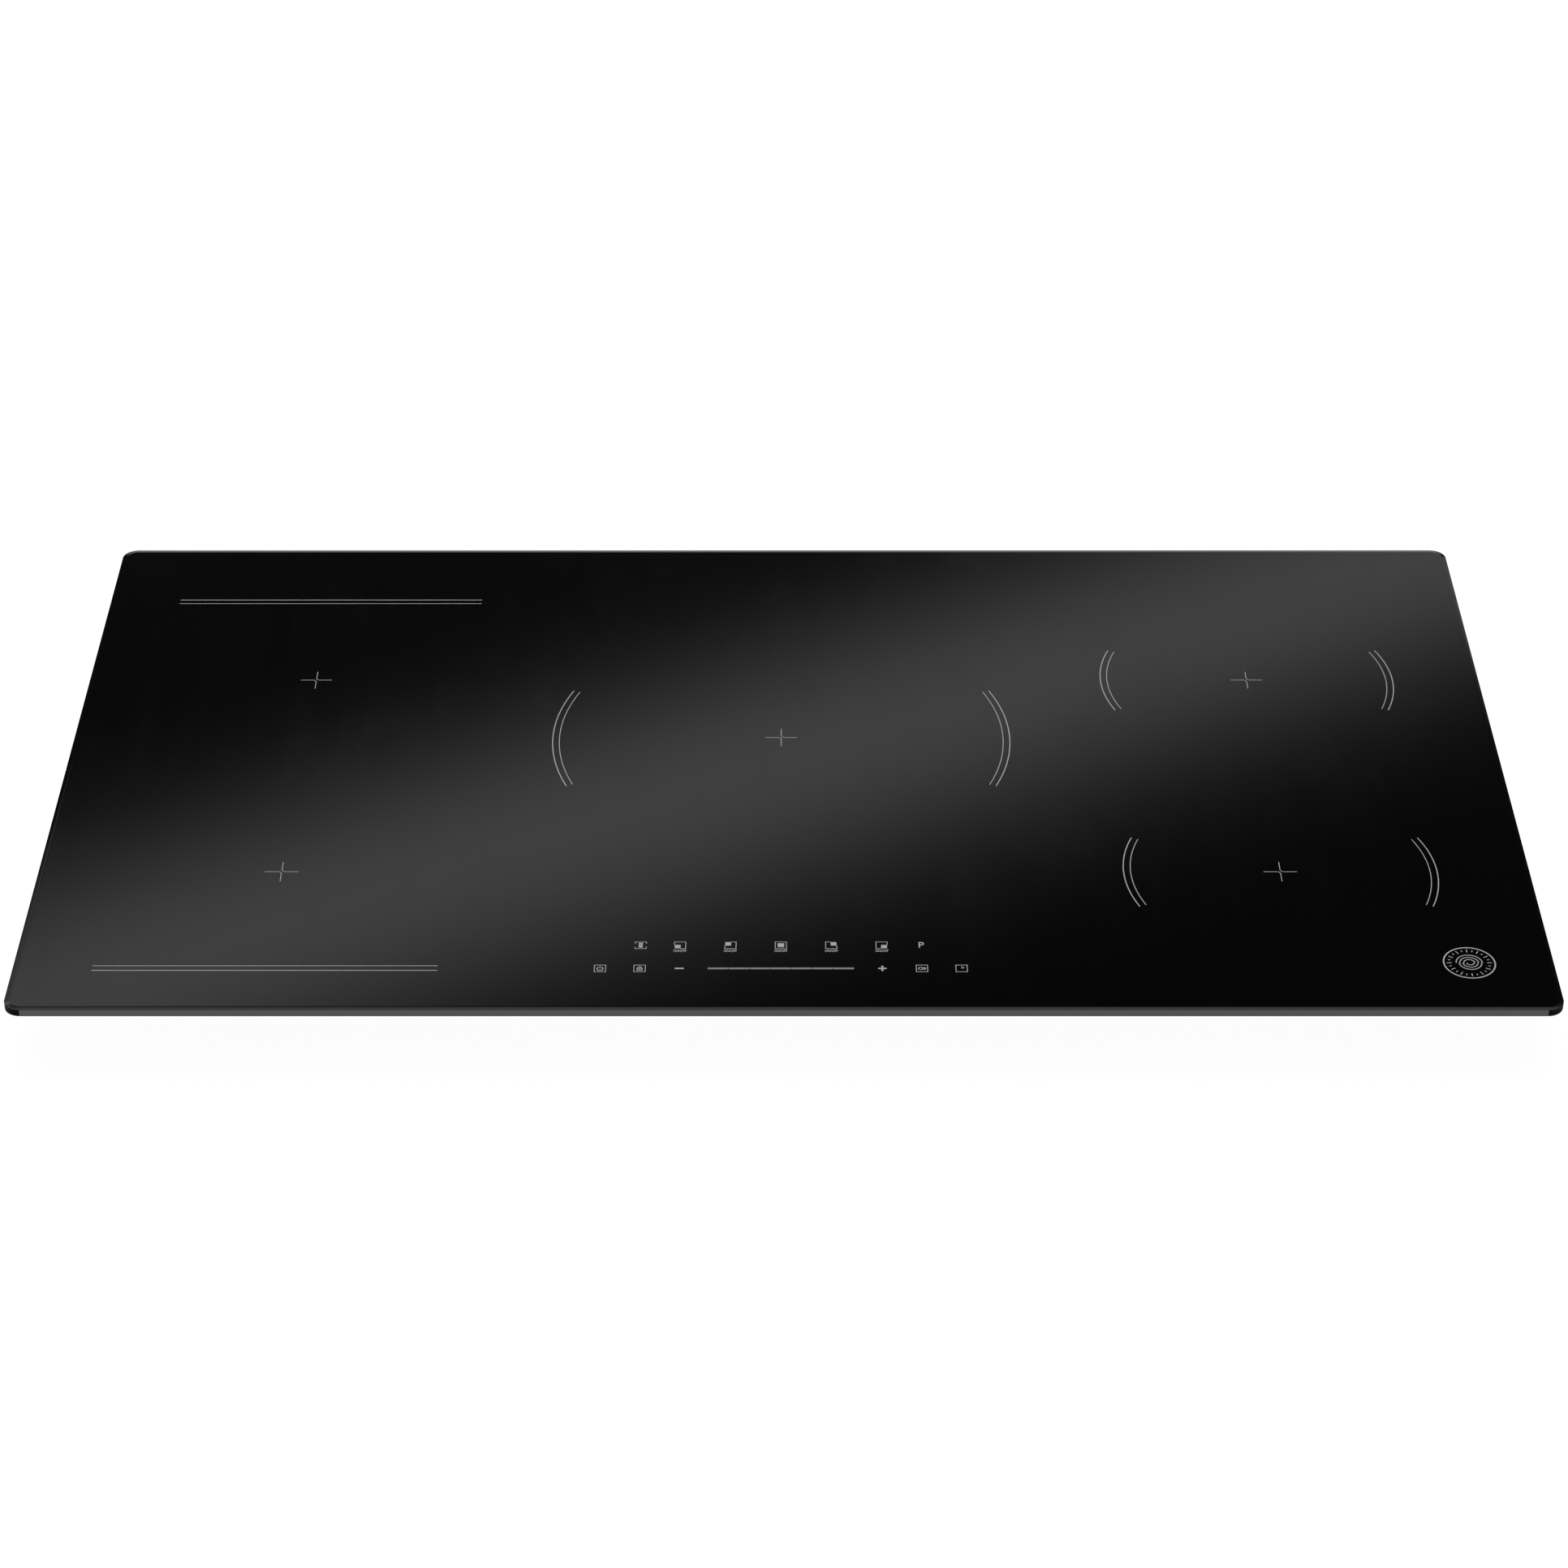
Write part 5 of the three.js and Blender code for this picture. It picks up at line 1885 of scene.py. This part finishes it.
@dataclass
class MainsCorner:
    """The terminal box with its door, screws and cable entry."""

    entry: Point = (380.0, 213.65, 15.0)
    entry_radius: float = 8.0

    def build(self) -> None:
        """Ease the box and its door and add the fittings."""
        eased("terminal_box", PLASTIC_GREY, 0.6)
        eased("terminal_lid", PLASTIC_GREY, 0.45, "terminal_door")
        eased("terminal_block", PLASTIC_WHITE, 0.3)
        self.make_ring()
        self.make_door_ribs()
        self.make_terminals()

    def make_ring(self) -> None:
        """Turn the rounded ring in the cable entry."""
        x, y, z = self.entry
        ring = turned("entry_ring", (x - 1, y, z), self.entry_radius + 1.6, 3.6, Axis.X, 36)
        cut(ring, turned("bore", (x - 1, y, z), self.entry_radius - 0.9, 9, Axis.X, 36))
        round_edges(ring, 0.6, 2, lambda p, d: abs(d.x) < 0.5)
        handed_over(ring, FOAM)

    def make_door_ribs(self) -> None:
        """Mould the ribs and the two latch bosses on the outside of the door."""
        parts = []
        for x in (272, 286, 344, 358):
            rib = block("rib", (x - 0.8, 233.1, 9.0), (x + 0.8, 234.4, 25.0))
            parts.append(round_edges(rib, 0.5, 2, lambda p, d: True))
        for x in (264, 366):
            boss = turned("boss", (x, 233.6, 22.0), 3.6, 1.4, Axis.Y, 28)
            parts.append(round_edges(boss, 0.5, 2, lambda p, d: abs(d.y) < 0.5))
        handed_over(joined("terminal_lid_ribs", parts), PLASTIC_GREY, "terminal_door")

    def make_terminals(self) -> None:
        """Fit a zinc-plated clamp and a screw head in each way of the block."""
        head = crosshead("head", 2.6, 1.4)
        cages: list[Piece] = []
        heads: list[Piece] = []
        for way in range(6):
            x = 315.0 + (way - 2.5) * 13.0 + 0.75
            cage = block("cage", (x - 4.2, 209.5, 16.1), (x + 4.2, 222.5, 19.2))
            cages.append(round_edges(cage, 0.5, 2, lambda p, d: True))
            for y in (212.5, 219.5):
                heads.append(laid(head, "head", (x, y, 19.2), (0, 0, 1)))
        bpy.data.objects.remove(head)
        handed_over(joined("terminal_cages", cages), ZINC)
        handed_over(joined("terminal_screws", heads), ZINC)


# ---------------------------------------------------------------- coils


@dataclass
class Coils:
    """Windings with separate turns, and the ferrite bars under the carriers.

    Attributes:
        low: height of the windings' lower side.
        high: height of the windings' upper side.
        pitch: distance from one turn to the next.
        strand: width of one turn.
        columns: places across of the left, middle and right zones.
        rows: depths of the rear and front zones.
        centre: depth of the middle zone.
    """

    low: float = 39.3
    high: float = 44.8
    pitch: float = 3.02
    strand: float = 2.72
    columns: tuple[float, float, float] = (-301.75, -1.75, 298.25)
    rows: Flat = (94.1, -121.9)
    centre: float = 26.1

    def round_winding(self, name: str, x: float, y: float, inner: float, outer: float) -> Piece:
        """Wind a round flat coil by spinning a row of wire sections.

        Args:
            name: name of the frame node that it stands for.
            x: place across.
            y: place in depth.
            inner: inner radius.
            outer: outer radius.

        Returns:
            The winding.
        """
        bpy.ops.object.select_all(action="DESELECT")
        middle = ((x + inner + self.strand / 2) * MM, y * MM, (self.low + self.high) / 2 * MM)
        bpy.ops.mesh.primitive_plane_add(size=1, location=middle, rotation=(math.pi / 2, 0, 0))
        piece = bpy.context.object
        piece.scale = (self.strand * MM, (self.high - self.low) * MM, 1)
        placed(piece)
        pick_faces(piece, lambda _, n: True)
        bpy.ops.mesh.bevel(offset=0.8 * MM, segments=2, affect="VERTICES")
        leave_edit()
        rows = piece.modifiers.new("rows", "ARRAY")
        rows.count = int((outer - inner) / self.pitch)
        rows.use_relative_offset = False
        rows.use_constant_offset = True
        rows.constant_offset_displace = (self.pitch * MM, 0, 0)
        bpy.ops.object.modifier_apply(modifier=rows.name)
        pick_faces(piece, lambda _, n: True)
        bpy.ops.mesh.spin(steps=60, angle=2 * math.pi, center=(x * MM, y * MM, 0), axis=(0, 0, 1))
        leave_edit()
        face_outwards(piece)
        pick_faces(piece, lambda p, n: abs(p.y - y) < 0.01 and abs(n.y) > 0.99 and p.x > x)
        bpy.ops.mesh.delete(type="ONLY_FACE")
        leave_edit()
        return handed_over(face_outwards(piece), COPPER, replaces=[name], angle=50.0)

    def square_winding(self) -> Piece:
        """Wind a coil with rounded corners out of nested rings.

        Returns:
            The winding, with its middle at the origin.
        """
        rings: list[Piece] = []
        turns = 24
        for index in range(turns):
            share = index / (turns - 1)
            half_x = 22.0 + self.strand + share * (96.0 - 22.0 - self.strand)
            half_y = 28.0 + self.strand + share * (102.0 - 28.0 - self.strand)
            corner = 20.5 + share * 39.0
            ring = block("turn", (-half_x, -half_y, self.low), (half_x, half_y, self.high))
            round_edges(ring, corner, 8, upright)
            pick_faces(ring, lambda _, n: abs(n.z) > 0.99)
            bpy.ops.mesh.inset(thickness=self.strand * MM)
            bpy.ops.mesh.bridge_edge_loops()
            leave_edit()
            rings.append(face_outwards(ring))
        winding = joined("square_winding", rings)
        return round_edges(winding, 0.55, 2, lambda p, d: abs(d.z) < 0.5)

    def ferrites(self, name: str, x: float, y: float, inner: float, outer: float, count: int) -> None:
        """Lay ferrite bars like spokes under a coil's carrier.

        Args:
            name: name of the zone.
            x: place across.
            y: place in depth.
            inner: where the bars start.
            outer: where the bars end.
            count: number of bars.
        """
        bar = block("bar", (inner, -3.5, 31.2), (outer, 3.5, 34.9))
        round_edges(bar, 0.6, 2, lambda p, d: True)
        bars = [copied(bar, "bar", (x, y, 0), 360.0 / count * (step + 0.5)) for step in range(count)]
        bpy.data.objects.remove(bar)
        handed_over(joined("ferrite_bars_" + name, bars), FERRITE)

    def build(self) -> None:
        """Make the windings and ferrites of the five zones."""
        left, middle, right = self.columns
        square = self.square_winding()
        for place, y in zip(("rear", "front"), self.rows):
            winding = copied(square, f"winding_left_{place}_turns", (left, y, 0))
            handed_over(winding, COPPER, replaces=[f"winding_left_{place}"], angle=50.0)
            wound = self.round_winding(f"winding_right_{place}", right, y, 15.3, 85.0)
            wound.name = f"winding_right_{place}_turns"
            self.ferrites(f"left_{place}", left, y, 34.0, 84.0, 8)
            self.ferrites(f"right_{place}", right, y, 26.0, 80.0, 8)
        bpy.data.objects.remove(square)
        inner = self.round_winding("winding_centre_inner", middle, self.centre, 15.3, 95.7)
        inner.name = "winding_centre_inner_turns"
        outer = self.round_winding("winding_centre_outer", middle, self.centre, 98.3, 134.0)
        outer.name = "winding_centre_outer_turns"
        self.ferrites("centre", middle, self.centre, 30.0, 125.0, 12)


# ---------------------------------------------------------------- electronics


class Package(Enum):
    """A kind of board component, with its width, depth, height and edge rounding."""

    FILM_CAPACITOR = (42.0, 18.0, 22.0, 1.2)
    RELAY = (19.0, 15.5, 15.0, 0.6)
    TRANSISTOR = (5.0, 15.8, 19.0, 0.5)
    RECTIFIER = (5.0, 28.0, 17.0, 0.7)
    CONNECTOR = (25.0, 8.0, 9.0, 0.4)
    CHIP = (10.0, 10.0, 1.4, 0.2)
    SMALL_CHIP = (5.0, 4.0, 1.3, 0.15)
    RESISTOR = (2.0, 1.2, 0.6, 0.08)
    SPADE = (0.8, 6.3, 10.0, 0.2)


def component(kind: Package, x: float, y: float, z: float) -> Piece:
    """Model one boxed component standing on a board.

    Args:
        kind: which component it is.
        x: place across.
        y: place in depth.
        z: height of the board's face.

    Returns:
        The component.
    """
    width, depth, height, edge = kind.value
    body = block("part", (x - width / 2, y - depth / 2, z), (x + width / 2, y + depth / 2, z + height))
    round_edges(body, edge, 2, lambda p, d: p.z > z + 0.01)
    if kind in (Package.FILM_CAPACITOR, Package.RELAY, Package.CONNECTOR):
        pick_faces(body, lambda p, n: n.z > 0.99 and p.z > z + height - 0.01)
        bpy.ops.mesh.inset(thickness=1.1 * MM)
        bpy.ops.transform.translate(value=(0, 0, (-6.0 if kind is Package.CONNECTOR else -0.4) * MM))
        leave_edit()
    return body


def can(x: float, y: float, z: float, radius: float, height: float) -> Piece:
    """Model a round capacitor with a rounded rim and a sunken, scored top.

    Args:
        x: place across.
        y: place in depth.
        z: height of the board's face.
        radius: outer radius.
        height: height of the can.

    Returns:
        The capacitor.
    """
    body = turned("can", (x, y, z + height / 2), radius, height, sides=28)
    round_edges(body, 0.7, 2, lambda p, d: p.z > z + height - 0.01)
    pick_faces(body, lambda p, n: n.z > 0.99)
    bpy.ops.mesh.inset(thickness=0.8 * MM)
    bpy.ops.transform.translate(value=(0, 0, -0.3 * MM))
    leave_edit()
    for turn in (0.0, math.pi / 2):
        arm = (radius * 0.6 * abs(math.cos(turn)) + 0.2, radius * 0.6 * abs(math.sin(turn)) + 0.2)
        low = (x - arm[0], y - arm[1], z + height - 0.6)
        cut(body, block("score", low, (x + arm[0], y + arm[1], z + height + 1)))
    return body


def wound_ring(name: str, x: float, y: float, z: float, radius: float, section: float) -> Piece:
    """Model a ring choke: a torus whose wire shows as separate turns.

    Args:
        name: name of the piece.
        x: place across.
        y: place in depth.
        z: height of its middle.
        radius: radius of the ring's middle line.
        section: radius of the wound section.

    Returns:
        The ring.
    """
    bpy.ops.object.select_all(action="DESELECT")
    bpy.ops.mesh.primitive_torus_add(
        location=(x * MM, y * MM, z * MM),
        major_radius=radius * MM,
        minor_radius=section * MM,
        major_segments=96,
        minor_segments=14,
    )
    ring = bpy.context.object
    ring.name = name
    placed(ring)
    centre = Vector((x, y, z))

    def on_ridge(p: Vector, _: Vector) -> bool:
        """Tell whether a face lies on every other slice of the ring.

        Args:
            p: the face's centre.
            _: the face's normal, which doesn't matter here.

        Returns:
            True on every other slice.
        """
        turn = math.degrees(math.atan2(p.y - centre.y, p.x - centre.x)) % 360.0
        return int(turn / 3.75) % 2 == 0

    pick_faces(ring, on_ridge)
    bpy.ops.mesh.extrude_region_shrink_fatten(TRANSFORM_OT_shrink_fatten={"value": -0.45 * MM})
    leave_edit()
    return face_outwards(ring)


@dataclass
class Electronics:
    """Components on the power, filter and control boards.

    Attributes:
        board: height of the power and filter boards' upper face.
        modules: places across of the power modules.
        control: height of the control board's upper face.
        middle: place across of the control board.
    """

    board: float = 7.9
    modules: Flat = (-250.0, 50.0)
    control: float = 44.6
    middle: float = -1.75

    def power_module(self, side: str, x: float) -> None:
        """Fill one power board.

        Args:
            side: left or right.
            x: place across of the module.
        """
        z = self.board
        spots = {
            Package.FILM_CAPACITOR: [(-70, -60), (-70, -85), (-70, -110)],
            Package.RELAY: [(84, -150), (84, -128)],
            Package.TRANSISTOR: [(-22, -130), (-22, -104), (-22, -44), (-22, -18)],
            Package.RECTIFIER: [(58, 0), (58, -60)],
            Package.CONNECTOR: [(-85, 32), (-50, 32)],
            Package.CHIP: [(-84, -8), (84, 10)],
            Package.SMALL_CHIP: [(-60, -6), (-60, 8), (-84, 12), (72, 24), (90, 26)],
            Package.SPADE: [(-95 + 12 * i, -162) for i in range(5)] + [(66 + 12 * i, -165) for i in range(3)],
        }
        looks = {
            Package.FILM_CAPACITOR: (PLASTIC_GREY, "film_capacitors"),
            Package.RELAY: (PLASTIC_BLACK, "relays"),
            Package.TRANSISTOR: (PLASTIC_BLACK, "transistors"),
            Package.RECTIFIER: (PLASTIC_BLACK, "rectifiers"),
            Package.CONNECTOR: (PLASTIC_WHITE, "connectors"),
            Package.CHIP: (PLASTIC_BLACK, "chips"),
            Package.SMALL_CHIP: (PLASTIC_BLACK, "small_chips"),
            Package.SPADE: (ZINC, "spade_terminals"),
        }
        for kind, places in spots.items():
            finish, name = looks[kind]
            parts = [component(kind, x + px, py, z) for px, py in places]
            handed_over(joined(f"module_{side}_{name}", parts), finish)
        cans = [can(x + 84, y, z, 6.3, 18.0) for y in (-92, -74, -56, -38)]
        handed_over(joined(f"module_{side}_electrolytics", cans), PLASTIC_BLACK)
        ring = wound_ring(f"module_{side}_choke", x - 70, -30, z + 6.0, 10.5, 4.6)
        handed_over(ring, COPPER, angle=60.0)
        small = [
            component(Package.RESISTOR, x - 98 + 5.5 * (i % 6), 14 + 3.2 * (i // 6), z) for i in range(18)
        ] + [component(Package.RESISTOR, x + 66 + 5.5 * (i % 6), -28 + 3.2 * (i // 6), z) for i in range(18)]
        handed_over(joined(f"module_{side}_resistors", small), PLASTIC_WHITE)
        head = crosshead("head", 3.0, 1.7)
        heads = [laid(head, "head", (x + px, py, z), (0, 0, 1)) for px in (-99, 99) for py in (-162, 44)]
        bpy.data.objects.remove(head)
        handed_over(joined(f"module_{side}_screws", heads), ZINC)

    def filter(self) -> None:
        """Fill the mains filter board and replace its plain choke."""
        z = self.board
        ring = wound_ring("filter_choke_wound", 255.0, 60.0, z + 8.3, 18.5, 7.2)
        handed_over(ring, COPPER, replaces=["filter_choke"], angle=60.0)
        parts = [component(Package.FILM_CAPACITOR, 330.0, y, z) for y in (20.0, 45.0, 70.0)]
        handed_over(joined("filter_capacitors", parts), PLASTIC_GREY)
        parts = [component(Package.RELAY, 250.0, y, z) for y in (110.0, 132.0)]
        handed_over(joined("filter_relays", parts), PLASTIC_BLACK)
        parts = [component(Package.SPADE, 220.0 + 14.0 * i, 165.0, z) for i in range(4)]
        handed_over(joined("filter_terminals", parts), ZINC)
        cans = [can(300.0 + 16.0 * i, 105.0, z, 5.2, 15.0) for i in range(3)]
        handed_over(joined("filter_electrolytics", cans), PLASTIC_BLACK)

    def touch_board(self) -> None:
        """Set touch springs, chips and resistors on the control board."""
        z = self.control
        spring = turned("ring", (0, 0, z + 0.3), 3.3, 0.45, sides=20)
        round_edges(spring, 0.18, 1, lambda p, d: abs(d.z) < 0.5)
        cut(spring, turned("bore", (0, 0, z), 2.6, 4, sides=20))
        settle_selection(spring)
        rows = spring.modifiers.new("rows", "ARRAY")
        rows.count = 5
        rows.use_relative_offset = False
        rows.use_constant_offset = True
        rows.constant_offset_displace = (0, 0, 0.56 * MM)
        bpy.ops.object.modifier_apply(modifier=rows.name)
        spots = [(dx, -197.1) for dx in (-82, -59, -29.5, 0, 29.5, 59, 82)]
        spots += [(dx, -219.0) for dx in (-105, -82, -59, 59, 82, 105)]
        springs = [copied(spring, "ring", (self.middle + dx, y, 0)) for dx, y in spots]
        bpy.data.objects.remove(spring)
        handed_over(joined("touch_springs", springs), COPPER)
        chips = [component(Package.CHIP, self.middle + dx, -208.0, z) for dx in (-15, 15)]
        handed_over(joined("control_chips", chips), PLASTIC_BLACK)
        small = [component(Package.RESISTOR, self.middle - 110 + 6.0 * i, -207.0, z) for i in range(14)]
        small += [component(Package.RESISTOR, self.middle + 30 + 6.0 * i, -207.0, z) for i in range(14)]
        handed_over(joined("control_resistors", small), PLASTIC_WHITE)

    def build(self) -> None:
        """Fill every board."""
        for side, x in zip(("left", "right"), self.modules):
            self.power_module(side, x)
        self.filter()
        self.touch_board()


@dataclass
class MouldedParts:
    """Inner mouldings and pressings, whose edges are broken."""

    def build(self) -> None:
        """Ease the edges of the inner parts."""
        for side in ("left", "right"):
            eased(f"module_tray_{side}", PLASTIC_BLACK, 0.4)
            eased(f"fan_housing_{side}", PLASTIC_BLACK, 0.5)
            eased(f"coil_carrier_{side}", ALUMINIUM, 0.4)
            eased(f"heat_sink_{side}", EXTRUDED, 0.25, segments=1)
            eased(f"fan_rotor_{side}", PLASTIC_BLACK, 0.2, f"fan_{side}", 1)
            eased(f"fan_grille_{side}", PLASTIC_BLACK, 0.4)
        eased("coil_carrier_centre", ALUMINIUM, 0.4)
        eased("filter_tray", PLASTIC_BLACK, 0.4)
        eased("control_tray", PLASTIC_BLACK, 0.4)
        eased("light_guide", PLASTIC_WHITE, 0.3)
        eased("glass_frame", GALVANISED, 0.3)


def main() -> None:
    """Build the visual model."""
    logging.basicConfig(level=logging.INFO, format="%(message)s")
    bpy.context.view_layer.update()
    Studio().build()
    Dressing().build()
    GlassPlate().build()
    Artwork().build()
    Pan().build()
    Clamp().build()
    MainsCorner().build()
    Coils().build()
    Electronics().build()
    MouldedParts().build()


if __name__ == "__main__":
    main()
